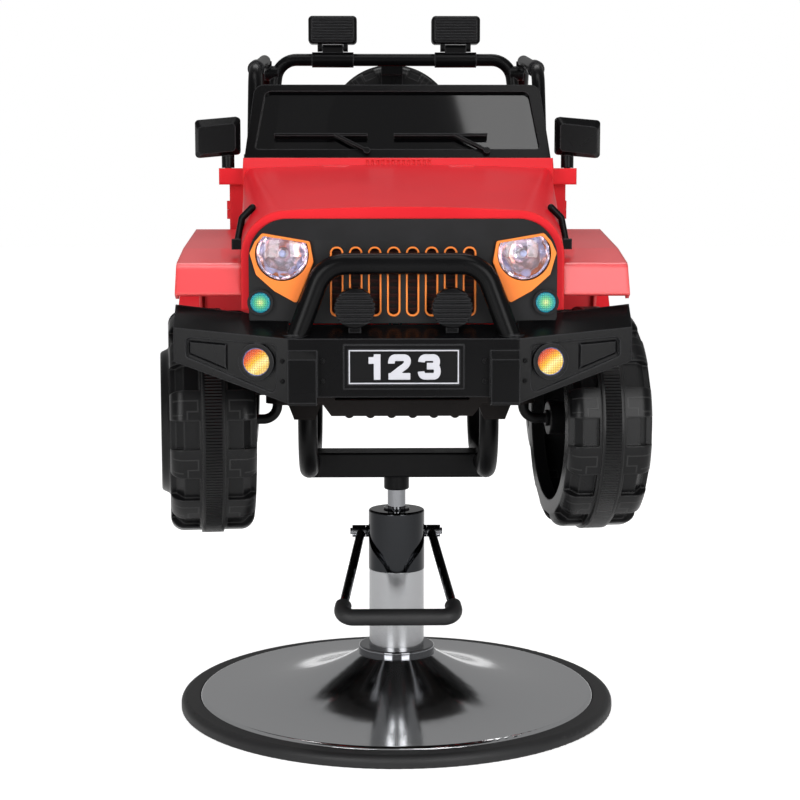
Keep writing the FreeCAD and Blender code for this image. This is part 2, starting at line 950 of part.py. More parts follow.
def make_cross_beam():
    top = beam_bottom + beam_height
    half = beam_depth / 2
    beam = box(-cradle_half, cradle_half, -half, half, beam_bottom, top)
    beam = round_edges(beam, beam_wall, lambda e: abs(e.BoundBox.XLength - 2 * cradle_half) < 1e-3)
    beam = beam.cut(box(-cradle_half - cut_over, cradle_half + cut_over, -half + beam_wall, half - beam_wall,
                        beam_bottom + beam_wall, top - beam_wall))
    for side in (-1, 1):
        beam = beam.cut(bent_bar(cradle_points(side), cradle_bend, cradle_tube_radius))
        outside = box(0, cradle_tube_radius + cut_over, -beam_depth, beam_depth, beam_bottom - cut_over,
                      top + cut_over)
        outside.translate(V(cradle_half, 0, 0))
        beam = beam.cut(outside if side > 0 else mirrored(outside))
    solids = sorted(beam.Solids, key=lambda s: s.Volume)
    beam = solids[-1]
    return beam.cut(cylinder(V(0, 0, beam_bottom - cut_over), Z_AXIS, hub_radius, cut_over + beam_wall))


def make_cradle_bolts():
    bolts = []
    for side in (-1, 1):
        for y in (-cradle_reach, cradle_reach):
            for shift in (-cradle_bolt_spread, cradle_bolt_spread):
                top = pan_bottom - cradle_plate
                place = V(side * cradle_half, y + shift, top - cradle_bolt_head)
                head = spun_hex(place, cradle_bolt_head_radius, cradle_bolt_head)
                shank = cylinder(V(place.x, place.y, top), Z_AXIS, cradle_bolt_radius,
                                 cradle_plate + pan_wall)
                bolts.append(head.fuse(shank).removeSplitter())
    return Part.makeCompound(bolts)


# Floor pan
def make_floor_pan():
    top = pan_ledge_height
    nose = prism([(-pan_ledge_low, pan_nose_low), (pan_ledge_low, pan_nose_low), (pan_nose_half, top),
                  (-pan_nose_half, top)], 0, "xz", pan_front, pan_step)
    middle = box(-pan_middle_half, pan_middle_half, pan_step, tub_front, pan_bottom, top)
    rear = box(-arch_inner, arch_inner, tub_front, pan_rear, pan_bottom, top)
    pan = nose.fuse([middle, rear])
    for i in range(pan_rib_count):
        shift = (i - (pan_rib_count - 1) / 2) * pan_rib_pitch
        pan = pan.fuse(cylinder(V(shift, pan_front, pan_nose_low + pan_rib_radius - pan_rib_stand), Y_AXIS,
                                pan_rib_radius, pan_step - pan_front))
    floor = pan_bottom + pan_wall
    pan = pan.cut(box(-pan_middle_half + pan_wall, pan_middle_half - pan_wall, pan_step + pan_wall,
                      tub_front + pan_wall, floor, top + cut_over))
    pan = pan.cut(box(-arch_inner + pan_wall, arch_inner - pan_wall, tub_front + pan_wall,
                      pan_rear - pan_wall, floor, top + cut_over))
    pan = pan.cut(box(-pan_ledge_low + pan_wall, pan_ledge_low - pan_wall, pan_front + pan_wall,
                      pan_step - pan_wall, pan_nose_low + 2 * pan_wall, top + cut_over))
    arm = box(-kingpin_x, kingpin_x, front_axle_y - arm_half, front_axle_y + arm_half, arm_bottom, arm_top)
    extras = [arm]
    for side in (-1, 1):
        extras.append(cylinder(V(side * kingpin_x, front_axle_y, arm_bottom), Z_AXIS, tower_radius,
                               tower_top - arm_bottom))
        x0, x1 = sorted([side * (post_x - horn_half), side * (post_x + horn_half)])
        extras.append(box(x0, x1, bumper_face + bumper_wall, front_axle_y + arm_half, horn_bottom, horn_top))
        web_x = side * (post_x - horn_half)
        low, high = sorted([web_x, side * (pan_ledge_low - pan_wall)])
        extras.append(box(low, high, pan_front, front_axle_y + arm_half, top - pan_wall,
                          horn_bottom + pan_wall))
        pod = prism([(side * (pod_x - pod_half), top), (side * (pod_x + pod_half), top),
                     (side * (pod_x + pod_foot), pod_bottom), (side * (pod_x - pod_foot), pod_bottom)],
                    0, "xz", pod_front, pod_rear)
        for i in range(pod_groove_count):
            y = pod_front + pod_groove * (2 * i + 1)
            slit = box(-pod_x - pod_half - cut_over, pod_x + pod_half + cut_over, y, y + pod_groove,
                       pod_bottom - cut_over, pod_bottom + pod_groove_depth)
            pod = pod.cut(slit)
        extras.append(pod)
        x0, x1 = sorted([side * hanger_inner, side * hanger_outer])
        extras.append(box(x0, x1, rear_axle_y - hanger_half, rear_axle_y + hanger_half,
                          axle_height - hanger_drop, pan_bottom + pan_wall))
    pan = pan.fuse(extras)
    pan = pan.cut(cylinder(V(-arch_inner, rear_axle_y, axle_height), X_AXIS, rear_axle_radius,
                           2 * arch_inner))
    for side in (-1, 1):
        pan = pan.cut(cylinder(V(side * kingpin_x, front_axle_y, arm_bottom - cut_over), Z_AXIS,
                               axle_radius + running_gap, tower_top - arm_bottom + 2 * cut_over))
        for y in (-cradle_reach, cradle_reach):
            for shift in (-cradle_bolt_spread, cradle_bolt_spread):
                pan = pan.cut(cylinder(V(side * cradle_half, y + shift, pan_bottom - cut_over), Z_AXIS,
                                       cradle_bolt_radius, pan_wall + cut_over))
    edge = box(-rear_edge_half, rear_edge_half, pan_rear - pan_wall, pan_rear + rear_edge_depth,
               rear_edge_bottom, rear_edge_top)
    edge = round_edges(edge, rear_edge_round, lambda e: on_plane(e, "y", pan_rear + rear_edge_depth))
    edge = edge.cut(box(-rear_edge_half + pan_wall, rear_edge_half - pan_wall, pan_rear - cut_over,
                        pan_rear + rear_edge_depth - pan_wall, rear_edge_bottom + pan_wall,
                        rear_edge_top - pan_wall))
    return pan.fuse(edge).removeSplitter()


# Hood and its latches
def hood_wire(y, half, top, corner, crown, foot):
    lower = V(-half, y, foot)
    left = V(-half, y, top - corner)
    turn = corner * (1 - math.sqrt(0.5))
    left_mid = V(-half + turn, y, top - turn)
    left_end = V(-half + corner, y, top)
    right_end = V(half - corner, y, top)
    right_mid = V(half - turn, y, top - turn)
    right = V(half, y, top - corner)
    low_right = V(half, y, foot)
    edges = [Part.LineSegment(lower, left).toShape(), Part.Arc(left, left_mid, left_end).toShape(),
             Part.Arc(left_end, V(0, y, top + crown), right_end).toShape(),
             Part.Arc(right_end, right_mid, right).toShape(),
             Part.LineSegment(right, low_right).toShape(), Part.LineSegment(low_right, lower).toShape()]
    return Part.Wire(edges)


def hood_form(inset, front, rear, foot):
    wires = []
    for y in (front, rear):
        share = (y - hood_front) / (hood_rear - hood_front)
        half = hood_half_front + (hood_half_rear - hood_half_front) * share - inset
        top = hood_top_front + (hood_top_rear - hood_top_front) * share - inset
        corner = hood_corner_front + (hood_corner_rear - hood_corner_front) * share - inset
        wires.append(hood_wire(y, half, top, max(corner, hood_corner_least), hood_crown, foot))
    return Part.makeLoft(wires, True, True)


def make_hood():
    outer = hood_form(0, hood_front, hood_rear, hood_skirt)
    rear = hood_rear - body_wall
    inner = hood_form(body_wall, hood_front + rim_depth, rear, hood_skirt - cut_over)
    opening = prism([(-hood_half_front + rim_width, hood_skirt - cut_over),
                     (hood_half_front - rim_width, hood_skirt - cut_over),
                     (hood_half_front - rim_width, hood_top_front - rim_width),
                     (-hood_half_front + rim_width, hood_top_front - rim_width)],
                    [0, 0, hood_corner_front - rim_width, hood_corner_front - rim_width], "xz",
                    hood_front - cut_over, hood_front + rim_depth + cut_over)
    hood = outer.cut([inner, opening])
    rear_hole = box(-hood_half_front, hood_half_front, rear - cut_over, hood_rear + cut_over,
                    hood_skirt - cut_over, cowl_sill)
    hood = hood.cut(rear_hole)
    for side in (-1, 1):
        centre = side * hinge_place
        place = V(centre - hinge_half, hood_rear - hinge_radius, hood_top_rear + hood_crown - hinge_drop)
        barrel = cylinder(place, X_AXIS, hinge_radius, 2 * hinge_half)
        hood = hood.fuse(barrel)
    return hood.removeSplitter()


def make_hood_latches():
    outer = hood_form(0, hood_front, hood_rear, hood_skirt)
    straps = []
    for side in (-1, 1):
        points = [V(side * latch_x[i], latch_y, latch_z[i]) for i in range(len(latch_x))]
        strap = bent_bar(points, latch_bend, latch_radius)
        strap = strap.fuse([Part.makeSphere(latch_radius, points[0]),
                            Part.makeSphere(latch_radius, points[-1])])
        foot = points[-1]
        block = box(foot.x - latch_block, foot.x + latch_block, foot.y - latch_block, foot.y + latch_block,
                    foot.z - latch_block, foot.z + latch_block)
        straps.append(strap.fuse(block).cut(outer).removeSplitter())
    return Part.makeCompound([max(s.Solids, key=lambda one: one.Volume) for s in straps])


# Front fenders
def make_front_fenders(neighbours):
    profile = list(zip(fender_ys, fender_zs))
    lower = [(y + fender_shift_y[i], z + fender_shift_z[i]) for i, (y, z) in enumerate(profile)]
    radii = [0, fender_turn, fender_turn, fender_turn, 0]
    band = prism(profile + list(reversed(lower)), radii + [0, fender_turn, fender_turn, fender_turn, 0],
                 "yz",
                 fender_inner, fender_half)
    skirt = [(y + fender_lip_y[i], z + fender_lip_z[i]) for i, (y, z) in enumerate(profile)]
    lip = prism(profile + list(reversed(skirt)), radii + [0, fender_turn, fender_turn, fender_turn, 0], "yz",
                fender_half - fender_wall, fender_half)
    fender = band.fuse(lip).cut(neighbours)
    return pair(max(fender.Solids, key=lambda one: one.Volume).removeSplitter())


# Grille panel, its bright insert and the mesh behind
def grille_block(inset, front, crease_back, rear):
    left = -hood_half_front + rim_width + inset
    top = hood_top_front - rim_width - inset
    corner = hood_corner_front - rim_width - inset
    block = prism([(left, grille_bottom + inset), (-left, grille_bottom + inset), (-left, top), (left, top)],
                  [grille_foot_round, grille_foot_round, corner, corner], "xz", front, rear)
    wedge = prism([(front - cut_over, grille_crease), (front, grille_crease),
                   (crease_back, hood_top_front), (crease_back, hood_top_front + cut_over),
                   (front - cut_over, hood_top_front + cut_over)], 0, "yz",
                  -hood_half_front, hood_half_front)
    return block.cut(wedge)


def slot_prism(shift, inset, start, end):
    half = slot_width / 2 - inset
    points = [(shift - half, slot_bottom + inset), (shift + half, slot_bottom + inset),
              (shift + half, slot_top - inset), (shift - half, slot_top - inset)]
    return prism(points, half - slot_flat, "xz", start, end)


def slot_shifts():
    return [(i - (slot_count - 1) / 2) * slot_pitch for i in range(slot_count)]


def housing_prism(side, grow, start, end):
    centre_x = sum(housing_xs) / len(housing_xs)
    centre_z = sum(housing_zs) / len(housing_zs)
    points = []
    for x, z in zip(housing_xs, housing_zs):
        out = V(x - centre_x, 0, z - centre_z)
        reach = out.normalize() * grow if grow else V(0, 0, 0)
        points.append((side * (x + reach.x), z + reach.z))
    return prism(points, housing_round, "xz", start, end)


def lamp_window(side, start, end):
    # The round lamp opening, its top cut straight by the housing's lid.
    disc = cylinder(V(side * headlamp_x, start, headlamp_z), Y_AXIS, headlamp_radius, end - start)
    return disc.common(housing_prism(side, -headlamp_lid, start, end))


def make_grille_panel():
    panel = grille_block(0, grille_face, grille_top_back, grille_rear)
    hollow = grille_block(grille_wall, grille_face + grille_wall, grille_top_back + grille_wall,
                          grille_rear + cut_over)
    panel = panel.cut(hollow)
    for shift in slot_shifts():
        panel = panel.cut(slot_prism(shift, 0, grille_face - cut_over, grille_face + grille_wall + cut_over))
    for side in (-1, 1):
        panel = panel.cut(housing_prism(side, 0, grille_face - cut_over, grille_rear + cut_over))
        start = V(side * signal_x, grille_face - signal_stand, signal_z)
        ring = cylinder(start, Y_AXIS, signal_radius, signal_stand + grille_wall)
        panel = panel.fuse(ring)
        panel = panel.cut(cylinder(V(start.x, start.y - cut_over, start.z), Y_AXIS, signal_lens_radius,
                                   signal_stand + cut_over))
    return panel.removeSplitter()


def make_grille_insert():
    plate_front = grille_face + grille_wall
    low = slot_bottom - insert_border
    high = slot_top + insert_border
    half = slot_shifts()[-1] + slot_width / 2 + insert_border
    insert = box(-half, half, plate_front, plate_front + insert_wall, low, high)
    for shift in slot_shifts():
        insert = insert.fuse(slot_prism(shift, 0, grille_face - insert_stand, plate_front))
    for shift in slot_shifts():
        insert = insert.cut(slot_prism(shift, slot_rim, grille_face - insert_stand - cut_over,
                                       plate_front + insert_wall + cut_over))
    link_z = (slot_top + slot_bottom) / 2
    for side in (-1, 1):
        x0, x1 = sorted([side * (half - insert_border), side * (link_reach)])
        link = box(x0, x1, plate_front, plate_front + insert_wall, link_z, high)
        housing = housing_prism(side, 0, grille_face - bezel_stand, plate_front + insert_wall)
        insert = insert.fuse([link, housing])
    for side in (-1, 1):
        insert = insert.cut(lamp_window(side, grille_face - bezel_stand - cut_over,
                                        grille_face + grille_wall + insert_wall + cut_over))
    return insert.removeSplitter()


def make_grille_mesh():
    start = grille_face + grille_wall + insert_wall
    low = slot_bottom - insert_border
    high = slot_top + insert_border
    half = slot_shifts()[-1] + slot_width / 2 + insert_border
    mesh = box(-half, half, start, start + mesh_wall, low, high)
    count = int((high - low) / mesh_pitch) - 1
    for i in range(count):
        z = low + mesh_pitch * (i + 1)
        mesh = mesh.cut(box(-half + mesh_pitch, half - mesh_pitch, start - cut_over, start + mesh_wall / 2,
                            z, z + mesh_pitch / 2))
    return mesh


# Lamps in the nose
def lens_place(side):
    return V(side * headlamp_x, grille_face - bezel_stand + lens_set, headlamp_z)


def make_headlamp_bowls():
    bowls = []
    for side in (-1, 1):
        start = lens_place(side) + Y_AXIS * lens_wall
        mouth = headlamp_radius
        throat = bulb_radius + bowl_wall
        points = [(mouth, 0), (mouth, bowl_wall), (throat, bowl_depth), (0, bowl_depth),
                  (0, bowl_depth - bowl_wall), (throat - bowl_wall,
                                                bowl_depth - bowl_wall), (mouth - bowl_wall, 0)]
        bowl = spun(points, 0, start, Y_AXIS)
        bulb = cylinder(start + Y_AXIS * bulb_gap, Y_AXIS, bulb_radius - bowl_wall,
                        bowl_depth - bulb_gap - bowl_wall / 2)
        keep = lamp_window(side, start.y - cut_over, start.y + bowl_depth + cut_over)
        bowls.append(bowl.fuse(bulb).common(keep).removeSplitter())
    return Part.makeCompound(bowls)


def make_headlamp_lenses():
    lenses = []
    for side in (-1, 1):
        start = lens_place(side)
        chord = headlamp_radius
        ball = (chord ** 2 + lens_bulge ** 2) / (2 * lens_bulge)
        centre = start + Y_AXIS * (ball - lens_bulge)
        dome = Part.makeSphere(ball, centre).cut(Part.makeSphere(ball - lens_wall, centre))
        keep = cylinder(start - Y_AXIS * (lens_bulge + cut_over), Y_AXIS, chord, lens_bulge + cut_over)
        plate = cylinder(start, Y_AXIS, chord, lens_wall)
        plate = plate.cut(cylinder(start, Y_AXIS, chord - lens_wall, lens_wall))
        window = lamp_window(side, start.y - lens_bulge - cut_over, start.y + lens_wall + cut_over)
        lenses.append(dome.common(keep).fuse(plate).common(window).removeSplitter())
    return Part.makeCompound(lenses)


def make_signal_lamps():
    lamp = cylinder(V(signal_x, grille_face - signal_stand + loose_gap, signal_z), Y_AXIS,
                    signal_lens_radius,
                    signal_stand - loose_gap)
    lamp = round_edges(lamp, signal_lens_stand,
                       lambda e: on_plane(e, "y", grille_face - signal_stand + loose_gap))
    return pair(lamp)


# Front bumper with its bar, plate and lamps
def bumper_section(x, face, bottom, top, back, back_top, inset):
    rear = back + (cut_over if inset else 0)
    points = [V(x, face + inset, bottom + inset), V(x, face + inset, top - inset),
              V(x, rear, back_top - inset), V(x, rear, bottom + inset)]
    return Part.makePolygon(points + [points[0]])


def wing_solid(inset, x_end):
    share = (x_end - bumper_half) / (wing_end_half - bumper_half)
    root = bumper_section(bumper_half, bumper_face, wing_root_bottom, bumper_top, wing_root_back,
                          wing_root_back_top, inset)
    def mid(a, b):
        return a + (b - a) * share
    end = bumper_section(x_end, mid(bumper_face, wing_end_face), mid(wing_root_bottom, wing_end_bottom),
                         mid(bumper_top, wing_end_top), mid(wing_root_back, wing_end_back),
                         mid(wing_root_back_top, wing_end_back_top), inset)
    return Part.makeLoft([root, end], True, True)


def wing_face_y(x):
    return bumper_face + (wing_end_face - bumper_face) * (x - bumper_half) / (wing_end_half - bumper_half)


def bumper_outer():
    wires = [bumper_section(x, bumper_face, bumper_bottom, bumper_top, bumper_back, bumper_back_top, 0)
             for x in (-bumper_half, bumper_half)]
    centre = Part.makeLoft(wires, True, True)
    wing = wing_solid(0, wing_end_half)
    return centre.fuse([wing, mirrored(wing)])


def fog_axis():
    run = V(wing_end_half - bumper_half, wing_end_face - bumper_face, 0)
    return V(run.y, -run.x, 0).normalize() * -1


def make_front_bumper():
    outer = bumper_outer()
    wires = [bumper_section(x, bumper_face, bumper_bottom, bumper_top, bumper_back, bumper_back_top,
                            bumper_wall)
             for x in (-bumper_half, bumper_half)]
    inner_centre = Part.makeLoft(wires, True, True)
    inner_wing = wing_solid(bumper_wall, wing_end_half - bumper_wall)
    bumper = outer.cut([inner_centre, inner_wing, mirrored(inner_wing)])
    recess = wing_solid(0, wing_end_half)
    slab = prism(list(zip(recess_xs, recess_zs)), recess_round, "xz", bumper_face - cut_over, wing_end_back)
    deep = recess.common(slab)
    recess.translate(V(0, wing_recess, 0))
    deep = deep.cut(recess)
    inward = fog_axis()
    spot = V(fog_x, wing_face_y(fog_x), fog_z)
    rim = cylinder(spot - inward * fog_stand, inward, fog_radius + fog_rim,
                   fog_stand + wing_recess + bumper_wall)
    for side in (1, -1):
        for tool, join in ((deep, False), (rim, True)):
            one = tool if side > 0 else mirrored(tool)
            bumper = bumper.fuse(one) if join else bumper.cut(one)
        hole = cylinder(spot - inward * (fog_stand + cut_over), inward, fog_radius,
                        fog_stand + cut_over + wing_recess)
        bumper = bumper.cut(hole if side > 0 else mirrored(hole))
        x0, x1 = sorted([side * (post_x - post_half), side * (post_x + post_half)])
        post = prism([(post_front + post_chamfer, post_bottom), (bumper_face + bumper_wall, post_bottom),
                      (bumper_face + bumper_wall, bumper_top - post_drop), (bumper_face,
                                                                            bumper_top - post_drop),
                      (post_front, post_top), (post_front, post_bottom + post_chamfer)], 0, "yz", x0, x1)
        bumper = bumper.fuse(post)
    frame_half = plate_width / 2 + plate_frame
    frame_low = plate_z - plate_height / 2 - plate_frame
    frame_high = plate_z + plate_height / 2 + plate_frame
    frame = box(-frame_half, frame_half, bumper_face - plate_frame_stand, bumper_face, frame_low, frame_high)
    frame = frame.cut(box(-plate_width / 2, plate_width / 2, bumper_face - plate_frame_stand - cut_over,
                          bumper_face + cut_over, plate_z - plate_height / 2, plate_z + plate_height / 2))
    bumper = bumper.fuse(frame)
    horns = [box(-post_x - horn_half, -post_x + horn_half, bumper_face + bumper_wall, wing_end_back,
                 horn_bottom, horn_top),
             box(post_x - horn_half, post_x + horn_half, bumper_face + bumper_wall, wing_end_back,
                 horn_bottom, horn_top)]
    bumper = bumper.cut(horns)
    bumper = bumper.cut(grille_block(0, grille_face, grille_top_back, grille_rear))
    return max(bumper.Solids, key=lambda one: one.Volume)


def make_number_plate():
    return box(-plate_width / 2, plate_width / 2, bumper_face - plate_wall, bumper_face,
               plate_z - plate_height / 2, plate_z + plate_height / 2)


def make_fog_lamps():
    inward = fog_axis()
    spot = V(fog_x, wing_face_y(fog_x), fog_z)
    lamp = cylinder(spot - inward * fog_lens_stand, inward, fog_radius, fog_lens_stand + wing_recess)
    return pair(lamp)


def make_bull_bar():
    outer = bumper_outer()
    low = bumper_top - bull_sink
    points = [V(-bull_foot_half, bull_y, low), V(-bull_top_half, bull_y, bull_top),
              V(bull_top_half, bull_y, bull_top), V(bull_foot_half, bull_y, low)]
    bar = bent_bar(points, bull_bend, bull_radius)
    for side in (-1, 1):
        bar = bar.fuse(cylinder(V(side * bull_foot_half, bull_y, low), Z_AXIS, bull_foot_radius,
                                bull_sink + bull_foot_height))
    bar = bar.cut(outer)
    bar = max(bar.Solids, key=lambda one: one.Volume)
    return bar.cut(bent_bar(points, bull_bend, bull_radius - bull_wall)).removeSplitter()


def make_spot_lamps():
    outer = bumper_outer()
    body = cylinder(V(spot_x, spot_front, spot_z), Y_AXIS, spot_radius, spot_depth)
    body = round_edges(body, spot_round,
                       lambda e: on_plane(e, "y", spot_front) or on_plane(e, "y", spot_front + spot_depth))
    foot = box(spot_x - spot_foot, spot_x + spot_foot, spot_front + spot_foot, spot_front + spot_depth,
               bumper_top - bull_sink, spot_z)
    for i in range(spot_louvre_count):
        z = spot_z + (i - (spot_louvre_count - 1) / 2) * spot_louvre_pitch
        body = body.cut(box(spot_x - spot_radius, spot_x + spot_radius, spot_front - cut_over,
                            spot_front + spot_louvre_depth, z - spot_louvre_gap / 2, z + spot_louvre_gap / 2))
    lamp = body.fuse(foot).cut(outer)
    return pair(max(lamp.Solids, key=lambda one: one.Volume).removeSplitter())


# Windscreen
def leaned(shape):
    return turned(shape, ORIGIN, X_AXIS, -screen_lean).translated(V(0, screen_base_y, screen_base_z))


def screen_outline(inset_side, inset_low, inset_top, corner, start, end):
    low = screen_half_bottom - inset_side
    high = screen_half_top - inset_side
    return prism([(-low, inset_low), (low, inset_low), (high, screen_height - inset_top),
                  (-high, screen_height - inset_top)], [screen_foot_round, screen_foot_round, corner,
                                                        corner],
                 "xz", start, end)


def make_screen_frame(tub):
    half = screen_thick / 2
    frame = screen_outline(0, -screen_sink, 0, screen_corner, -half, half)
    opening = screen_outline(screen_side_bar, screen_bottom_bar, screen_top_bar, glass_corner,
                             -half - cut_over, half + cut_over)
    frame = leaned(frame.cut(opening)).cut(tub)
    return max(frame.Solids, key=lambda one: one.Volume)


def make_screen_glass():
    glass = screen_outline(screen_side_bar, screen_bottom_bar, screen_top_bar, glass_corner,
                           -glass_wall / 2, glass_wall / 2)
    return leaned(glass)


def make_wipers():
    face = -screen_thick / 2
    near = face - 2 * wiper_radius
    wipers = []
    for centre in wiper_places:
        keel = box(centre - wiper_half, centre + wiper_half, near, -glass_wall / 2,
                   wiper_height - wiper_radius, wiper_height + wiper_radius)
        root = V(centre + wiper_arm_shift, 0, screen_bottom_bar / 2)
        meet = V(centre + wiper_arm_meet, 0, wiper_height)
        run = meet - root
        side = V(run.z, 0, -run.x).normalize() * wiper_radius
        corners = [root + side, root - side, meet - side, meet + side]
        arm = prism([(c.x, c.z) for c in corners], 0, "xz", near - wiper_radius, face)
        pivot = cylinder(V(root.x, near - wiper_radius, root.z), Y_AXIS, wiper_pivot_radius,
                         face - near + wiper_radius)
        wipers.append(leaned(keel.fuse([arm, pivot]).removeSplitter()))
    return Part.makeCompound(wipers)


# Roll cage with its lamp saddles
def make_roll_cage():
    foot_z = belt_height
    hoop = bent_bar([V(-hoop_half_bottom, hoop_y, foot_z), V(-hoop_half_top, hoop_y, hoop_top),
                     V(hoop_half_top, hoop_y, hoop_top), V(hoop_half_bottom, hoop_y,
                                                           foot_z)], hoop_bend, cage_radius)
    pieces = []
    for side in (-1, 1):
        foot = V(side * pillar_foot_x, pillar_foot_y, cowl_top)
        knee = V(side * pillar_top_x, pillar_top_y, side_tube_top)
        corner = V(side * (hoop_half_top + cage_corner_out), hoop_y, hoop_top - cage_corner_down)
        pieces.append(bent_bar([foot, knee, corner], side_tube_bend, cage_radius))
        pieces.append(between(corner, V(side * stay_foot_x, stay_rear, foot_z), cage_radius))
        pieces.append(cylinder(foot, Z_AXIS, cage_foot_radius, cage_foot_height))
        pieces.append(cylinder(V(side * hoop_half_bottom, hoop_y, foot_z), Z_AXIS, cage_foot_radius,
                               cage_foot_height))
        pieces.append(cylinder(V(side * stay_foot_x, stay_rear, foot_z), Z_AXIS, cage_foot_radius,
                               cage_foot_height))
        clamp = V(0, 0, -cage_clamp_down)
        pieces.append(between(corner + clamp, V(side * hoop_half_top, hoop_y, corner.z) + clamp,
                              cage_clamp_radius))
        pieces.append(between(corner + clamp, corner, cage_clamp_radius))
        run = corner - knee
        middle = knee + run * clip_share
        pieces.append(cylinder(middle, run, clip_radius, clip_length))
        sleeve = cylinder(V(side * lamp_x - lamp_sleeve_half, hoop_y, hoop_top), X_AXIS, lamp_sleeve_radius,
                          2 * lamp_sleeve_half)
        pivot = hoop_top + lamp_pivot_rise
        ear = box(side * lamp_x - lamp_ear, side * lamp_x + lamp_ear, hoop_y - lamp_ear_radius,
                  hoop_y + lamp_ear_radius, hoop_top, pivot)
        top = cylinder(V(side * lamp_x - lamp_ear, hoop_y, pivot), X_AXIS, lamp_ear_radius, 2 * lamp_ear)
        pieces += [sleeve, ear, top]
    cage = hoop.fuse(pieces)
    for side in (-1, 1):
        cage = cage.cut(cylinder(V(side * lamp_x - lamp_ear - cut_over, hoop_y, hoop_top + lamp_pivot_rise),
                                 X_AXIS,
                                 lamp_pin_radius + running_gap, 2 * (lamp_ear + cut_over)))
    below = box(-tub_half - cut_over, tub_half + cut_over, pillar_foot_y + cage_foot_radius + cut_over,
                tub_rear + cut_over, tub_bottom, belt_height)
    front_below = box(-tub_half - cut_over, tub_half + cut_over, hood_rear,
                      pillar_foot_y + cage_foot_radius + cut_over,
                      tub_bottom, cowl_top)
    return cage.cut([below, front_below]).removeSplitter()


def make_roof_lamp(side):
    pivot = hoop_top + lamp_pivot_rise
    low = pivot + lamp_ear_radius + loose_gap * 2
    centre = side * lamp_x
    lamp = box(centre - lamp_width / 2, centre + lamp_width / 2, hoop_y - lamp_depth / 2,
               hoop_y + lamp_depth / 2,
               low, low + lamp_height)
    lamp = round_edges(lamp, lamp_round, lambda e: True)
    for i in range(lamp_louvre_count):
        z = low + lamp_height * (i + 1) / (lamp_louvre_count + 1)
        lamp = lamp.cut(box(centre - lamp_width / 2 + lamp_round, centre + lamp_width / 2 - lamp_round,
                            hoop_y - lamp_depth / 2 - cut_over, hoop_y - lamp_depth / 2 + lamp_louvre_depth,
                            z - lamp_louvre_depth / 2, z + lamp_louvre_depth / 2))
    inner = lamp_ear + loose_gap
    for turn in (-1, 1):
        x0, x1 = sorted([centre + turn * inner, centre + turn * lamp_lug_half])
        lug = box(x0, x1, hoop_y - lamp_ear_radius, hoop_y + lamp_ear_radius, pivot, low + lamp_round)
        lamp = lamp.fuse([lug, cylinder(V(x0, hoop_y, pivot), X_AXIS, lamp_ear_radius, x1 - x0)])
    pin = cylinder(V(centre - lamp_lug_half, hoop_y, pivot), X_AXIS, lamp_pin_radius, 2 * lamp_lug_half)
    return lamp.fuse(pin).removeSplitter()


# Mirrors
def make_mirror(side):
    points = [(mirror_inner, mirror_bottom + mirror_round), (mirror_outer, mirror_bottom),
              (mirror_outer, mirror_top - mirror_round), (mirror_inner, mirror_top)]
    back = prism(points, mirror_round, "xz", mirror_front_y + mirror_taper, mirror_back_y)
    front_points = [(mirror_inner + mirror_taper / 2, mirror_bottom + mirror_round + mirror_taper / 2),
                    (mirror_outer - mirror_taper / 2, mirror_bottom + mirror_taper / 2),
                    (mirror_outer - mirror_taper / 2, mirror_top - mirror_round - mirror_taper),
                    (mirror_inner + mirror_taper / 2, mirror_top - mirror_taper)]
    front = Part.makeLoft([outline(points, mirror_round, "xz", mirror_front_y + mirror_taper),
                           outline(front_points, mirror_round, "xz", mirror_front_y)], True, True)
    recess = [(x + (mirror_rim if x == mirror_inner else -mirror_rim), z) for x, z in
              [(mirror_inner, mirror_bottom + mirror_round + mirror_rim),
               (mirror_outer, mirror_bottom + mirror_rim),
               (mirror_outer, mirror_top - mirror_round - mirror_rim), (mirror_inner,
                                                                        mirror_top - mirror_rim)]]
    glass_pocket = prism(recess, mirror_round, "xz", mirror_back_y - mirror_rim / 2,
                         mirror_back_y + cut_over)
    stalk = cylinder(V(mirror_axis_x, mirror_axis_y, mirror_arm_top + loose_gap), Z_AXIS,
                     mirror_stalk_radius,
                     mirror_bottom + mirror_round * 2 - mirror_arm_top - loose_gap)
    pin = cylinder(V(mirror_axis_x, mirror_axis_y, mirror_arm_top - mirror_pin_depth), Z_AXIS,
                   mirror_pin_radius,
                   mirror_pin_depth + mirror_round)
    head = back.fuse([front, stalk, pin]).cut(glass_pocket).removeSplitter()
    return head if side > 0 else mirrored(head)


# Tub
def arch_cylinder(radius, x0, x1):
    return cylinder(V(x0, rear_axle_y, axle_height), X_AXIS, radius, x1 - x0)


def half_ring(inner, outer, x0, x1):
    ring = arch_cylinder(outer, x0, x1).cut(arch_cylinder(inner, x0 - cut_over, x1 + cut_over))
    return ring.common(box(x0, x1, rear_axle_y - outer, rear_axle_y + outer, axle_height + arch_low,
                           axle_height + outer))


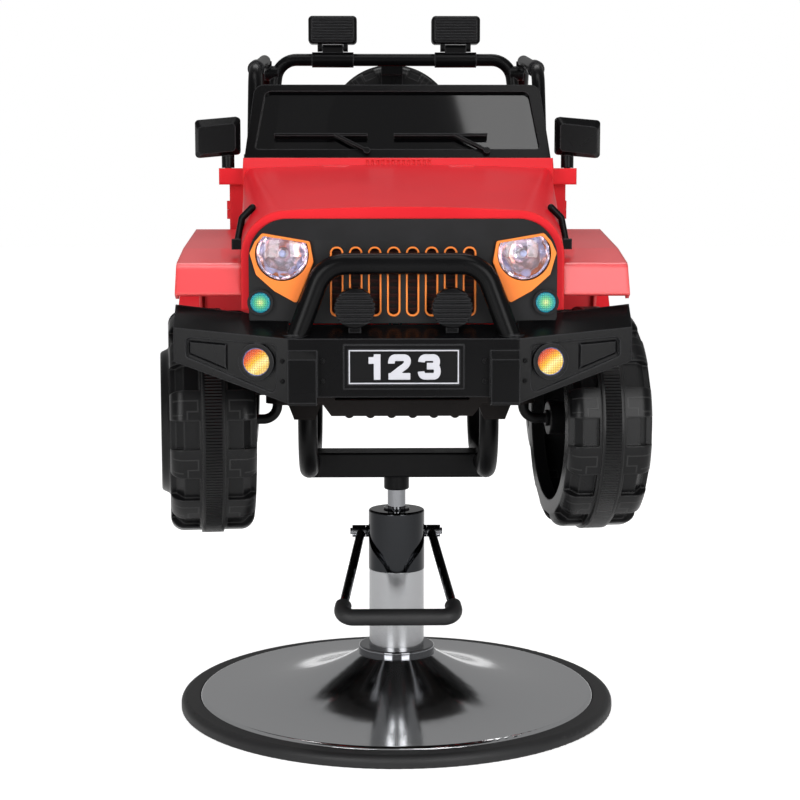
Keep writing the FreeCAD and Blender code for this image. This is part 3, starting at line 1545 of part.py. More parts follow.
def make_tub(hood_solid):
    outer = box(-tub_half, tub_half, tub_front, tub_rear, tub_bottom, belt_height)
    outer = round_edges(outer, tub_corner, lambda e: e.BoundBox.ZLength > belt_height - tub_bottom - cut_over
                        and e.BoundBox.YMin > 0)
    room_half = tub_half - tub_wall
    room = box(-room_half, room_half, tub_front + tub_wall, tub_rear - tub_wall, tub_bottom + body_wall,
               belt_height + cut_over)
    tub = outer.cut(room)
    rail = box(-tub_half, tub_half, tub_front + tub_wall, tub_rear - tub_wall, belt_height - belt_rail / 2,
               belt_height)
    rail = rail.cut(box(-tub_half + belt_rail, tub_half - belt_rail, tub_front, deck_front,
                        belt_height - belt_rail, belt_height + cut_over))
    rail = rail.cut(box(-tub_half + belt_rail, tub_half - belt_rail, deck_front - cut_over,
                        tub_rear - belt_rail,
                        belt_height - belt_rail, belt_height + cut_over)).common(outer)
    deck = box(-room_half, room_half, deck_front, tub_rear - tub_wall, deck_height, deck_height + body_wall)
    deck_face = box(-room_half, room_half, deck_front, deck_front + body_wall, tub_bottom + body_wall,
                    deck_height)
    nose = box(-bulkhead_half, bulkhead_half, bulkhead_front, tub_front + tub_wall, tub_bottom, bulkhead_top)
    nose_room = box(-bulkhead_half + body_wall, bulkhead_half - body_wall, bulkhead_front + body_wall,
                    tub_front + tub_wall + cut_over, tub_bottom + body_wall, bulkhead_top - body_wall)
    cowl = box(-cowl_half, cowl_half, hood_rear, cowl_rear, cowl_sill, cowl_top)
    cowl = cowl.cut(prism([(hood_rear - cut_over, hood_top_rear), (hood_rear, hood_top_rear),
                           (cowl_slope_end, cowl_top), (cowl_slope_end, cowl_top + cut_over),
                           (hood_rear - cut_over, cowl_top + cut_over)], 0, "yz", -tub_half, tub_half))
    cowl = cowl.cut(box(-cowl_half + body_wall, cowl_half - body_wall, hood_rear + body_wall,
                        cowl_rear + cut_over,
                        cowl_sill - cut_over, hood_top_rear - body_wall))
    for i in range(cowl_vent_count):
        x = (i - (cowl_vent_count - 1) / 2) * cowl_vent_pitch
        vent = box(x - cowl_vent_width / 2, x + cowl_vent_width / 2, hood_rear - cut_over, cowl_slope_end,
                   hood_top_rear + cowl_vent_edge, cowl_top - cowl_vent_edge)
        vent = vent.cut(prism([(hood_rear + cowl_vent_depth, hood_top_rear),
                               (cowl_slope_end + cowl_vent_depth, cowl_top),
                               (cowl_slope_end + cowl_vent_depth, hood_top_rear)], 0, "yz",
                              -tub_half, tub_half))
        cowl = cowl.cut(vent)
    tub = tub.cut(box(-cowl_half + body_wall, cowl_half - body_wall, tub_front - cut_over,
                      tub_front + tub_wall + cut_over,
                      bulkhead_top, belt_height + cut_over))
    tub = tub.fuse([rail, deck, deck_face, nose, cowl])
    tub = tub.cut(nose_room)
    arches = []
    for side in (-1, 1):
        x0, x1 = sorted([side * (tub_half + cut_over), side * arch_inner])
        tub = tub.cut(arch_cylinder(arch_radius, x0, x1).common(
            box(x0, x1, 0, tub_rear - arch_wall, tub_bottom - cut_over, axle_height + arch_radius)))
        x0, x1 = sorted([side * arch_outer, side * arch_inner])
        arches.append(half_ring(arch_radius, arch_radius + arch_wall, x0, x1))
        x0, x1 = sorted([side * arch_inner, side * (arch_inner - arch_wall)])
        liner = arch_cylinder(arch_radius + arch_wall, x0, x1).common(
            box(x0, x1, rear_axle_y - arch_radius - arch_wall, tub_rear, tub_bottom,
                axle_height + arch_radius + arch_wall))
        x0, x1 = sorted([side * arch_outer, side * (arch_outer - arch_wall)])
        lip = half_ring(arch_radius - arch_lip, arch_radius + arch_wall, x0, x1)
        arches += [liner, lip]
    tub = tub.fuse(arches)
    for side in (-1, 1):
        x0, x1 = sorted([side * (tub_half - belt_rail), side * (tub_half + cut_over)])
        hole = prism([(door_front, door_bottom), (door_rear, door_bottom),
                      (door_rear, belt_height + cut_over),
                      (door_front, belt_height + cut_over)], [door_corner, door_corner, 0, 0], "yz", x0, x1)
        tub = tub.cut(hole)
        x0, x1 = sorted([side * (cowl_half - body_wall), side * mirror_arm_end])
        bracket = box(x0, x1, mirror_arm_front, mirror_arm_rear, mirror_arm_top - mirror_arm_height,
                      mirror_arm_top)
        tub = tub.fuse(bracket)
        pin_low = mirror_arm_top - mirror_pin_depth - loose_gap
        tub = tub.cut(cylinder(V(side * mirror_axis_x, mirror_axis_y, pin_low), Z_AXIS,
                               mirror_pin_radius + running_gap, mirror_arm_top + cut_over - pin_low))
        for height in door_hinge_heights:
            x = side * (tub_half + door_hinge_out)
            barrel = cylinder(V(x, door_axis_y, height - door_hinge_half), Z_AXIS, door_hinge_radius,
                              door_hinge_half)
            pin = cylinder(V(x, door_axis_y, height), Z_AXIS, door_pin_radius, door_hinge_half)
            x0, x1 = sorted([side * (tub_half - body_wall / 2), x])
            leaf = box(x0, x1, door_axis_y - hinge_leaf, door_axis_y, height - door_hinge_half, height)
            tub = tub.fuse([leaf, barrel, pin])
    wheel_axis = steering_axis()
    tub = tub.cut(cylinder(steering_centre() - wheel_axis * column_length, wheel_axis,
                           column_radius + loose_gap,
                           column_length))
    tub = tub.cut(hood_solid)
    ledge = box(-throttle_x - throttle_width, throttle_x + throttle_width,
                throttle_hinge_y - throttle_pin_lift / 2,
                throttle_hinge_y + throttle_pin_lift / 2, tub_bottom + body_wall,
                tub_bottom + body_wall + throttle_pin_lift + throttle_ear_top)
    ears = ledge.common(box(throttle_x - throttle_width / 2 - throttle_ear,
                            throttle_x - throttle_width / 2 - loose_gap,
                            bulkhead_front, tub_rear, tub_bottom, belt_height))
    ears = ears.fuse(ledge.common(box(throttle_x + throttle_width / 2 + loose_gap,
                                      throttle_x + throttle_width / 2 + throttle_ear,
                                      bulkhead_front, tub_rear, tub_bottom, belt_height)))
    pin_hole = cylinder(V(throttle_x - throttle_width, throttle_hinge_y, throttle_hinge_z), X_AXIS,
                        throttle_pin_radius + running_gap, 2 * throttle_width)
    tub = tub.fuse(ears.cut(pin_hole))
    return max(tub.Solids, key=lambda one: one.Volume).removeSplitter()


# Doors
def make_door(side):
    gap = panel_gap
    points = [(door_front + gap, door_bottom + gap), (door_rear - gap, door_bottom + gap),
              (door_rear - gap, door_top), (door_front + gap, door_top)]
    radii = [door_corner - gap, door_corner - gap, 0, 0]
    door = prism(points, radii, "yz", tub_half - door_thick, tub_half)
    inset = [(door_front + gap + body_wall, door_bottom + gap + body_wall),
             (door_rear - gap - body_wall, door_bottom + gap + body_wall),
             (door_rear - gap - body_wall, door_top - body_wall), (door_front + gap + body_wall,
                                                                   door_top - body_wall)]
    door = door.cut(prism(inset, door_corner - gap - body_wall, "yz", tub_half - door_thick - cut_over,
                          tub_half - body_wall))
    pull = box(tub_half, tub_half + door_pull_stand, door_rear - door_pull_in - door_pull_length,
               door_rear - door_pull_in, door_pull_z, door_pull_z + door_pull_height)
    pull = round_edges(pull, door_pull_round, lambda e: on_plane(e, "x", tub_half + door_pull_stand))
    door = door.fuse(pull)
    x = tub_half + door_hinge_out
    for height in door_hinge_heights:
        low = height + loose_gap
        barrel = cylinder(V(x, door_axis_y, low), Z_AXIS, door_hinge_radius, door_hinge_half - loose_gap)
        high = height + door_hinge_half
        leaf = box(tub_half + loose_gap, x, door_axis_y, door_axis_y + hinge_leaf, low, high)
        root = box(tub_half - body_wall / 2, x, door_axis_y + 2 * gap, door_axis_y + hinge_leaf, low, high)
        door = door.fuse([barrel, leaf, root])
    for height in door_hinge_heights:
        door = door.cut(cylinder(V(x, door_axis_y, height - cut_over), Z_AXIS, door_pin_radius + running_gap,
                                 door_hinge_half + 2 * cut_over))
    door = door.removeSplitter()
    return door if side > 0 else mirrored(door)


# Cockpit
def steering_axis():
    tilt = math.radians(wheel_lean)
    return V(0, math.sin(tilt), math.cos(tilt))


def steering_centre():
    return V(0, wheel_centre_y, wheel_centre_z)


def crank_way():
    # The crank's arm at rest, turned with the steering by its rest angle.
    tilt = math.radians(wheel_lean)
    down = V(0, math.cos(tilt), -math.sin(tilt))
    return FreeCAD.Rotation(steering_axis(), steering_ratio * steer_rest).multVec(down)


def make_dashboard():
    dash = box(-dash_half, dash_half, dash_front, dash_rear, dash_bottom, dash_top)
    dash = round_edges(dash, dash_round,
                       lambda e: on_plane(e, "y", dash_rear) and e.BoundBox.XLength > dash_half)
    axis = steering_axis()
    centre = steering_centre()
    sleeve_end = centre - axis * sleeve_start
    sleeve = cylinder(centre - axis * (sleeve_start + sleeve_length), axis, column_sleeve_radius,
                      sleeve_length)
    sleeve = sleeve.common(box(-dash_half, dash_half, dash_front, wheel_centre_y, dash_bottom,
                               belt_height + belt_rail))
    pod = cylinder(V(-gauge_x, dash_rear, gauge_z), Y_AXIS, gauge_radius, gauge_stand)
    dash = dash.fuse([sleeve, pod])
    return dash.cut(cylinder(sleeve_end - axis * column_length, axis, column_radius + running_gap,
                             2 * column_length))


def make_steering_wheel():
    axis = Z_AXIS
    ring = Part.makeTorus(wheel_rim_radius - wheel_grip_radius, wheel_grip_radius)
    hub = cylinder(V(0, 0, -wheel_hub_height), axis, wheel_hub_radius, wheel_hub_height)
    pieces = [hub]
    for degrees in spoke_degrees:
        bar = box(wheel_hub_radius / 2, wheel_rim_radius - wheel_grip_radius, -wheel_spoke_width / 2,
                  wheel_spoke_width / 2, -wheel_spoke, 0)
        pieces.append(turned(bar, ORIGIN, Z_AXIS, degrees))
    wheel = ring.fuse(pieces)
    wheel = wheel.cut(cylinder(V(0, 0, -button_height), axis, button_radius + pin_gap,
                               button_height + cut_over))
    wheel.rotate(ORIGIN, Z_AXIS, steering_ratio * steer_rest)
    wheel.rotate(ORIGIN, X_AXIS, -wheel_lean)
    wheel.translate(steering_centre())
    line = steering_axis()
    centre = steering_centre()
    end = centre - line * column_length
    rod = between(end, centre - line * wheel_hub_height, column_radius)
    way = crank_way()
    arm_end = end + way * crank_length
    stub = between(arm_end, arm_end - line * crank_pin_length, crank_pin_radius)
    pieces = [rod, stub, between(end, arm_end, crank_pin_radius), Part.makeSphere(column_radius, end),
              Part.makeSphere(crank_pin_radius, arm_end)]
    return wheel.fuse(pieces).removeSplitter()


def make_horn_button():
    button = cylinder(V(0, 0, -button_height + button_travel + loose_gap), Z_AXIS, button_radius,
                      button_height - button_travel - loose_gap + button_stand)
    button = round_edges(button, button_stand / 2, lambda e: on_plane(e, "z", button_stand))
    button.rotate(ORIGIN, X_AXIS, -wheel_lean)
    return button.translated(steering_centre())


def seat_leaned(shape):
    turned_shape = turned(shape, ORIGIN, X_AXIS, -seat_back_lean)
    return turned_shape.translated(V(0, seat_rear, seat_height))


def seat_back_height():
    return (seat_back_top - seat_height) / math.cos(math.radians(seat_back_lean))


def make_seat_shell():
    riser_half = seat_half - cushion_inset
    riser = box(-riser_half, riser_half, seat_front + cushion_inset, seat_rear - cushion_inset,
                tub_bottom + body_wall, seat_height - seat_wall)
    riser = riser.cut(box(-riser_half + seat_wall, riser_half - seat_wall,
                          seat_front + cushion_inset + seat_wall,
                          seat_rear - cushion_inset - seat_wall, tub_bottom, seat_height))
    pan = box(-seat_half, seat_half, seat_front, seat_rear + seat_back_thick / 2, seat_height - seat_wall,
              seat_height)
    back = prism([(-seat_half, 0), (seat_half, 0), (seat_half - seat_taper, seat_back_height()),
                  (-seat_half + seat_taper, seat_back_height())], [0, 0, seat_corner, seat_corner], "xz",
                 0, seat_back_thick)
    back = back.cut(prism([(-seat_half + seat_wall, seat_wall), (seat_half - seat_wall, seat_wall),
                           (seat_half - seat_taper - seat_wall, seat_back_height() - seat_wall),
                           (-seat_half + seat_taper + seat_wall, seat_back_height() - seat_wall)],
                          [0, 0, seat_corner - seat_wall, seat_corner - seat_wall], "xz", seat_wall,
                          seat_back_thick + cut_over))
    return riser.fuse([pan, seat_leaned(back)]).removeSplitter()


def cushion_form(foot_half, head_half, low, high):
    # A padded slab lying on XY from low to high along Y: a crowned top, full sides and drawn-in ends.
    rings = []
    for place, width, height in zip(cushion_place_shares, cushion_width_shares, cushion_height_shares):
        y = low + (high - low) * place
        half = (foot_half + (head_half - foot_half) * place) * width - cushion_bulge
        top = cushion_thick * height
        side = top * cushion_side_share
        corners = [V(-half, y, 0), V(half, y, 0), V(half - cushion_shoulder, y, side),
                   V(-half + cushion_shoulder, y, side)]
        swell = V(half + cushion_bulge, y, side / 2)
        edges = [Part.LineSegment(corners[0], corners[1]).toShape(),
                 Part.Arc(corners[1], swell, corners[2]).toShape(),
                 Part.Arc(corners[2], V(0, y, top), corners[3]).toShape(),
                 Part.Arc(corners[3], V(-swell.x, y, swell.z), corners[0]).toShape()]
        rings.append(Part.Wire(edges))
    return Part.makeLoft(rings, True, False)


def make_seat_cushion():
    half = seat_half - cushion_inset
    cushion = cushion_form(half, half, seat_front + cushion_inset / 2, seat_rear - cushion_inset)
    return cushion.translated(V(0, 0, seat_height))


def make_back_cushion():
    half = seat_half - cushion_inset
    cushion = cushion_form(half, half - seat_taper, cushion_thick + cushion_inset,
                           seat_back_height() - cushion_inset * 2)
    return seat_leaned(turned(cushion, ORIGIN, X_AXIS, 90))


def make_throttle_pedal():
    plate = box(-throttle_width / 2, throttle_width / 2, 0, throttle_length, -throttle_thick / 2,
                throttle_thick / 2)
    plate = round_edges(plate, throttle_round, lambda e: on_plane(e, "y", throttle_length))
    for i in range(throttle_rib_count):
        y = throttle_length * (i + 1) / (throttle_rib_count + 1)
        rib = box(-throttle_width / 2 + throttle_rib, throttle_width / 2 - throttle_rib,
                  y - throttle_rib / 2, y + throttle_rib / 2, 0, throttle_thick / 2 + throttle_rib / 2)
        plate = plate.fuse(rib)
    plate = turned(plate, ORIGIN, X_AXIS, throttle_rise)
    pin = cylinder(V(-throttle_width / 2 - throttle_ear, 0, 0), X_AXIS, throttle_pin_radius,
                   throttle_width + 2 * throttle_ear)
    pedal = plate.fuse(pin)
    pedal.rotate(ORIGIN, Z_AXIS, 180)
    pedal.translate(V(throttle_x, throttle_hinge_y, throttle_hinge_z))
    return pedal.removeSplitter()


# Tail
def make_tail_lamps():
    low = tail_lamp_z - tail_lamp_height / 2
    lamp = box(tail_lamp_x - tail_lamp_width / 2, tail_lamp_x + tail_lamp_width / 2, tub_rear,
               tub_rear + tail_lamp_stand, low, low + tail_lamp_height)
    lamp = round_edges(lamp, tail_lamp_round, lambda e: not on_plane(e, "y", tub_rear))
    return pair(lamp.translated(V(-tail_lamp_in, 0, 0)))


def make_spare_carrier():
    plate = box(-carrier_half, carrier_half, tub_rear, tub_rear + carrier_wall, carrier_bottom,
                spare_z + carrier_half)
    hub = cylinder(V(0, tub_rear, spare_z), Y_AXIS, carrier_half, spare_rear - spare_width - tub_rear)
    stud = cylinder(V(0, tub_rear, spare_z), Y_AXIS, spare_bore - running_gap,
                    spare_rear - tub_rear - spare_dish)
    knob = cylinder(V(0, spare_rear - spare_dish, spare_z), Y_AXIS, spare_knob, spare_dish)
    arm = box(-brake_lamp_half, brake_lamp_half, tub_rear, tub_rear + carrier_wall, spare_z,
              spare_z + spare_radius - brake_lamp_height)
    lamp = box(-brake_lamp_half, brake_lamp_half, tub_rear + carrier_wall - brake_lamp_depth,
               tub_rear + carrier_wall,
               spare_z + spare_radius - brake_lamp_height, spare_z + spare_radius)
    return plate.fuse([hub, stud, knob, arm, lamp]).removeSplitter()


def wheel_profile(radius, width, shoulder, face_radius, dish, bore):
    half = width / 2
    return [(bore, -half), (radius, -half), (radius, half), (face_radius, half),
            (face_radius - abs(dish) / 2, half - dish), (bore, half - dish)]


def make_wheel(radius, width, shoulder, face_radius, mouth_radius, dish, bore, rib_half, rib_out, depth,
               lugs):
    # Turned about Z with its outer face towards +Z, then stood on its own axle.
    tread = radius - rib_out
    points = wheel_profile(tread, width, shoulder, face_radius, dish, bore)
    body = spun(points, [0, shoulder, shoulder, wheel_lip_round, wheel_lip_round, 0], ORIGIN, Z_AXIS)
    rib = cylinder(V(0, 0, -rib_half), Z_AXIS, radius, 2 * rib_half)
    body = body.fuse(rib.cut(cylinder(V(0, 0, -width), Z_AXIS, mouth_radius, 2 * width)))
    half = width / 2
    mouth = cylinder(V(0, 0, -half - cut_over), Z_AXIS, mouth_radius,
                     width - max(dish, 0) - 2 * wheel_web + cut_over)
    room = cylinder(V(0, 0, -half - cut_over), Z_AXIS, min(mouth_radius, face_radius - wheel_web + dish / 2),
                    width - dish - 2 * wheel_web + cut_over)
    pocket = mouth.fuse(room)
    pocket = pocket.cut(cylinder(V(0, 0, -half - cut_over), Z_AXIS, bore + wheel_bore_wall, 2 * width))
    body = body.cut(pocket)
    if dish < 0:
        body = body.cut(cylinder(V(0, 0, half - dish - nut_recess), Z_AXIS, axle_nut_radius + wheel_web,
                                 nut_recess + cut_over))
    belt_radius = tread - depth - wheel_tread_wall
    if belt_radius > mouth_radius:
        body = body.cut(spun([(mouth_radius - cut_over, -half + shoulder), (belt_radius, -half + shoulder),
                              (belt_radius, half - shoulder), (mouth_radius - cut_over, half - shoulder)],
                             0, ORIGIN, Z_AXIS))
    pitch = 360 / lugs
    notch_width = 2 * math.pi * tread / lugs * (1 - lug_width_share)
    # Each notch runs from beside the middle rib out over one shoulder, the same on both sides.
    low = tread - depth
    side_low = tread - shoulder
    section = [(low, rib_half + lug_start), (tread + cut_over, rib_half + lug_start),
               (tread + cut_over, half + cut_over),
               (side_low, half + cut_over), (side_low, half - depth), (low, half - shoulder)]
    notch = prism(section, 0, "xz", -notch_width / 2, notch_width / 2)
    under = notch.mirror(ORIGIN, Z_AXIS)
    notches = []
    for i in range(lugs):
        notches.append(turned(notch, ORIGIN, Z_AXIS, pitch * i))
        notches.append(turned(under, ORIGIN, Z_AXIS, pitch * i))
    body = body.cut(notches)
    if face_radius > window_outer:
        window_foot = half - dish - 2 * wheel_web - cut_over
        window_top = half + abs(dish) + cut_over
        window = spun([(window_inner, window_foot), (window_outer, window_foot), (window_outer, window_top),
                       (window_inner, window_top)], 0, ORIGIN, Z_AXIS)
        spoke = box(0, face_radius + cut_over, -window_spoke / 2, window_spoke / 2, window_foot, window_top)
        spokes = [turned(spoke, ORIGIN, Z_AXIS, 360 / window_count * i) for i in range(window_count)]
        body = body.cut(window.cut(spokes))
    return body.removeSplitter()


def stand_wheel(wheel, centre, side, steer):
    copy = wheel.copy()
    copy.rotate(ORIGIN, Y_AXIS, 90 * side)
    copy.translate(centre)
    return turned(copy, V(side * kingpin_x, front_axle_y, 0), Z_AXIS, steer)


# Front axle
def make_knuckle(side):
    outer = front_wheel_x - kingpin_x + wheel_width / 2 + wheel_face_out - nut_recess
    foot = V(side * kingpin_x, front_axle_y, axle_height)
    top = tower_top + pin_gap + steer_arm_wall
    path = [V(foot.x, foot.y, top), foot,
            V(foot.x + side * (outer + axle_nut_height + loose_gap), foot.y, foot.z)]
    rod = bent_bar(path, knuckle_bend, axle_radius)
    tip = outer + loose_gap
    nut = cylinder(V(foot.x + side * tip, foot.y, foot.z), X_AXIS * side, axle_nut_radius, axle_nut_height)
    inner_stop = front_wheel_x - kingpin_x - wheel_width / 2 - loose_gap
    collar = cylinder(V(foot.x + side * (inner_stop - collar_wall), foot.y, foot.z), X_AXIS * side,
                      axle_nut_radius,
                      collar_wall)
    low = tower_top + pin_gap
    arm = box(foot.x - steer_arm_half, foot.x + steer_arm_half, foot.y, foot.y + steer_arm, low,
              low + steer_arm_wall)
    arm = arm.fuse([cylinder(V(foot.x, foot.y, low), Z_AXIS, steer_arm_half + pin_gap * 2, steer_arm_wall),
                    cylinder(V(foot.x, foot.y + steer_arm, low), Z_AXIS, steer_arm_half, steer_arm_wall),
                    cylinder(V(foot.x, foot.y + steer_arm, low), Z_AXIS, steer_pin_radius,
                             steer_pin_height + steer_arm_wall)])
    knuckle = rod.fuse([nut, collar, arm]).removeSplitter()
    return turned(knuckle, foot, Z_AXIS, steer_rest)


def tie_places():
    swing = math.radians(steer_rest)
    step = V(-steer_arm * math.sin(swing), steer_arm * math.cos(swing), 0)
    low = tower_top + pin_gap + steer_arm_wall + loose_gap
    return [V(side * kingpin_x, front_axle_y, low) + step for side in (-1, 1)]


def make_tie_rod():
    left, right = tie_places()
    bar = box(left.x, right.x, left.y - tie_half, left.y + tie_half, left.z, left.z + tie_wall)
    bar = bar.fuse([cylinder(left, Z_AXIS, tie_half, tie_wall),
                    cylinder(right, Z_AXIS, tie_half + pin_gap, tie_wall)])
    way = crank_way()
    pin_x = (way * crank_length).x
    inner = crank_pin_radius + fork_slack / 2
    floor = box(pin_x - inner - fork_wall, pin_x + inner + fork_wall, left.y, left.y + fork_reach, left.z,
                left.z + tie_wall)
    bar = bar.fuse(floor)
    for turn in (-1, 1):
        x0, x1 = sorted([pin_x + turn * inner, pin_x + turn * (inner + fork_wall)])
        bar = bar.fuse(box(x0, x1, left.y, left.y + fork_reach, left.z, left.z + tie_wall + fork_height))
    bar = bar.cut(cylinder(left - Z_AXIS * cut_over, Z_AXIS, steer_pin_radius + running_gap,
                           2 * cut_over + tie_wall))
    bar = bar.cut(cylinder(right - Z_AXIS * cut_over, Z_AXIS, steer_pin_radius + fork_slack / 4,
                           2 * cut_over + tie_wall))
    return bar.removeSplitter()


def make_rear_axle():
    face = rear_wheel_x + wheel_width / 2 + wheel_face_out - nut_recess + loose_gap
    rod = cylinder(V(-face - axle_nut_height, rear_axle_y, axle_height), X_AXIS, rear_axle_radius,
                   2 * (face + axle_nut_height))
    inner = rear_wheel_x - wheel_width / 2 - loose_gap
    pieces = []
    for side in (-1, 1):
        x0, x1 = sorted([side * face, side * (face + axle_nut_height)])
        pieces.append(cylinder(V(x0, rear_axle_y, axle_height), X_AXIS, axle_nut_radius, x1 - x0))
        x0, x1 = sorted([side * inner, side * hanger_outer])
        pieces.append(cylinder(V(x0, rear_axle_y, axle_height), X_AXIS, axle_spacer_radius, x1 - x0))
    return rod.fuse(pieces).removeSplitter()


def main():
    os.makedirs("parts", exist_ok=True)
    hood = make_hood()
    tub = make_tub(hood)
    wheel = make_wheel(wheel_radius, wheel_width, wheel_shoulder, wheel_face_radius, wheel_mouth_radius,
                       -wheel_face_out, axle_radius + running_gap, rib_width / 2, rib_stand, lug_depth,
                       lug_count)
    spare = make_wheel(spare_radius, spare_width, spare_shoulder, spare_face_radius, spare_face_radius,
                       spare_dish, spare_bore, spare_rib, rib_stand, spare_lug_depth, spare_lug_count)
    front = V(front_wheel_x, front_axle_y, axle_height)
    rear = V(rear_wheel_x, rear_axle_y, axle_height)
    spare_stood = turned(spare, ORIGIN, X_AXIS, -90).translated(V(0, spare_rear - spare_width / 2, spare_z))
    parts = {
        "base_disc": make_base_disc(),
        "base_ring": make_base_ring(),
        "base_collar": make_base_collar(),
        "base_bolts": make_base_bolts(),
        "pump_tube": make_pump_tube(),
        "pump_cap": make_pump_cap(),
        "pump_cylinder": make_pump_cylinder(),
        "piston_rod": make_piston_rod(),
        "pedal_lever": make_pedal_lever(),
        "pedal_grip": make_pedal_grip(),
        "pump_plunger": make_pump_plunger(),
        "rod_hub": make_rod_hub(),
        "cross_beam": make_cross_beam(),
        "cradle_tubes": make_cradle_tubes(),
        "cradle_bolts": make_cradle_bolts(),
        "floor_pan": make_floor_pan(),
        "hood": hood,
        "hood_latches": make_hood_latches(),
        "front_fenders": make_front_fenders([hood, tub, bumper_outer()]),
        "grille_panel": make_grille_panel(),
        "grille_insert": make_grille_insert(),
        "grille_mesh": make_grille_mesh(),
        "headlamp_bowls": make_headlamp_bowls(),
        "headlamp_lenses": make_headlamp_lenses(),
        "signal_lamps": make_signal_lamps(),
        "front_bumper": make_front_bumper(),
        "number_plate": make_number_plate(),
        "fog_lamps": make_fog_lamps(),
        "bull_bar": make_bull_bar(),
        "spot_lamps": make_spot_lamps(),
        "screen_frame": make_screen_frame(tub),
        "screen_glass": make_screen_glass(),
        "wipers": make_wipers(),
        "roll_cage": make_roll_cage(),
        "roof_lamp_left": make_roof_lamp(-1),
        "roof_lamp_right": make_roof_lamp(1),
        "mirror_left": make_mirror(-1),
        "mirror_right": make_mirror(1),
        "tub": tub,
        "door_left": make_door(-1),
        "door_right": make_door(1),
        "dashboard": make_dashboard(),
        "steering_wheel": make_steering_wheel(),
        "horn_button": make_horn_button(),
        "seat_shell": make_seat_shell(),
        "seat_cushion": make_seat_cushion(),
        "back_cushion": make_back_cushion(),
        "throttle_pedal": make_throttle_pedal(),
        "tail_lamps": make_tail_lamps(),
        "spare_carrier": make_spare_carrier(),
        "spare_wheel": spare_stood,
        "knuckle_left": make_knuckle(-1),
        "knuckle_right": make_knuckle(1),
        "tie_rod": make_tie_rod(),
        "rear_axle": make_rear_axle(),
        "wheel_front_left": stand_wheel(wheel, V(-front.x, front.y, front.z), -1, steer_rest),
        "wheel_front_right": stand_wheel(wheel, front, 1, steer_rest),
        "wheel_rear_left": stand_wheel(wheel, V(-rear.x, rear.y, rear.z), -1, 0),
        "wheel_rear_right": stand_wheel(wheel, rear, 1, 0),
    }
    for name, shape in parts.items():
        shape.exportStep("parts/" + name + ".step")
    return parts


if __name__ == "__main__":
    main()
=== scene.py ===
import bpy
import bmesh
import math
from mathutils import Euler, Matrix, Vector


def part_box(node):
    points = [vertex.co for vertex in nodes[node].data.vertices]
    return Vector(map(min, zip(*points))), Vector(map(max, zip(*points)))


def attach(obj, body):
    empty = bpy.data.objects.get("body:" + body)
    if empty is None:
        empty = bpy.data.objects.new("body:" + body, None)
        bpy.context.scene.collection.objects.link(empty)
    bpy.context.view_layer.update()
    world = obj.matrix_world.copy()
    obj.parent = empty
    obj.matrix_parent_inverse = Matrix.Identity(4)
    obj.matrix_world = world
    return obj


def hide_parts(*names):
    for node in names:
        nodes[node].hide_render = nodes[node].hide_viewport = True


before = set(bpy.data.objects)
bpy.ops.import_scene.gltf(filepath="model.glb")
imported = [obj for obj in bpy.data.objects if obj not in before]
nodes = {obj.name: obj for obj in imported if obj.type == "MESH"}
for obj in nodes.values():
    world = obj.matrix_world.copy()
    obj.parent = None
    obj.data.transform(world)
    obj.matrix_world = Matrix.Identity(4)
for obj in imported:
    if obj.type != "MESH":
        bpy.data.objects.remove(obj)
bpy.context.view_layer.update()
print("frame loaded:", len(nodes), "nodes")


# Small helpers

def hexColor(code):
    parts = [int(code[i:i + 2], 16) / 255 for i in (1, 3, 5)]
    line = [c / 12.92 if c <= 0.04045 else ((c + 0.055) / 1.055) ** 2.4 for c in parts]
    return (*line, 1.0)


def addNode(tree, kind, settings=None, links=None):
    # one node with its settings (attributes or socket values) and its incoming links
    node = tree.nodes.new(kind)
    for key, value in (settings or {}).items():
        if isinstance(key, str) and hasattr(node, key):
            setattr(node, key, value)
        else:
            node.inputs[key].default_value = value
    for key, (source, socket) in (links or {}).items():
        tree.links.new(source.outputs[socket], node.inputs[key])
    return node


def startMaterial(name):
    mat = bpy.data.materials.new(name)
    mat.use_nodes = True
    tree = mat.node_tree
    tree.nodes.clear()
    return mat, tree


def setRamp(ramp, stops):
    # stops are (place, hex colour), the first two take the ramp's own ends
    marks = ramp.color_ramp.elements
    for i, (place, code) in enumerate(sorted(stops)):
        mark = marks[i] if i < 2 else marks.new(place)
        mark.position = place
        mark.color = hexColor(code)


def dress(mat, *names):
    # gives CAD nodes a finish
    for name in names:
        nodes[name].data.materials.clear()
        nodes[name].data.materials.append(mat)


def deselectAll():
    if bpy.context.object and bpy.context.object.mode != "OBJECT":
        bpy.ops.object.mode_set(mode="OBJECT")
    bpy.ops.object.select_all(action="DESELECT")


def pick(obj):
    deselectAll()
    obj.select_set(True)
    bpy.context.view_layer.objects.active = obj


def selectParts(obj, kind, wanted):
    # selects the faces, edges or vertices that the next operator works on, by their place or normal
    bpy.ops.object.mode_set(mode="EDIT")
    bpy.ops.mesh.select_mode(type=kind)
    bpy.ops.mesh.select_all(action="DESELECT")
    mesh = bmesh.from_edit_mesh(obj.data)
    for part in {"FACE": mesh.faces, "EDGE": mesh.edges, "VERT": mesh.verts}[kind]:
        part.select = wanted(part)
    mesh.select_flush_mode()
    bmesh.update_edit_mesh(obj.data)


def applyModifiers(obj):
    pick(obj)
    for modifier in list(obj.modifiers):
        bpy.ops.object.modifier_apply(modifier=modifier.name)


def remeshEvenly(obj, voxel):
    remesh = obj.modifiers.new("evenGrid", "REMESH")
    remesh.mode = "VOXEL"
    remesh.voxel_size = voxel
    applyModifiers(obj)


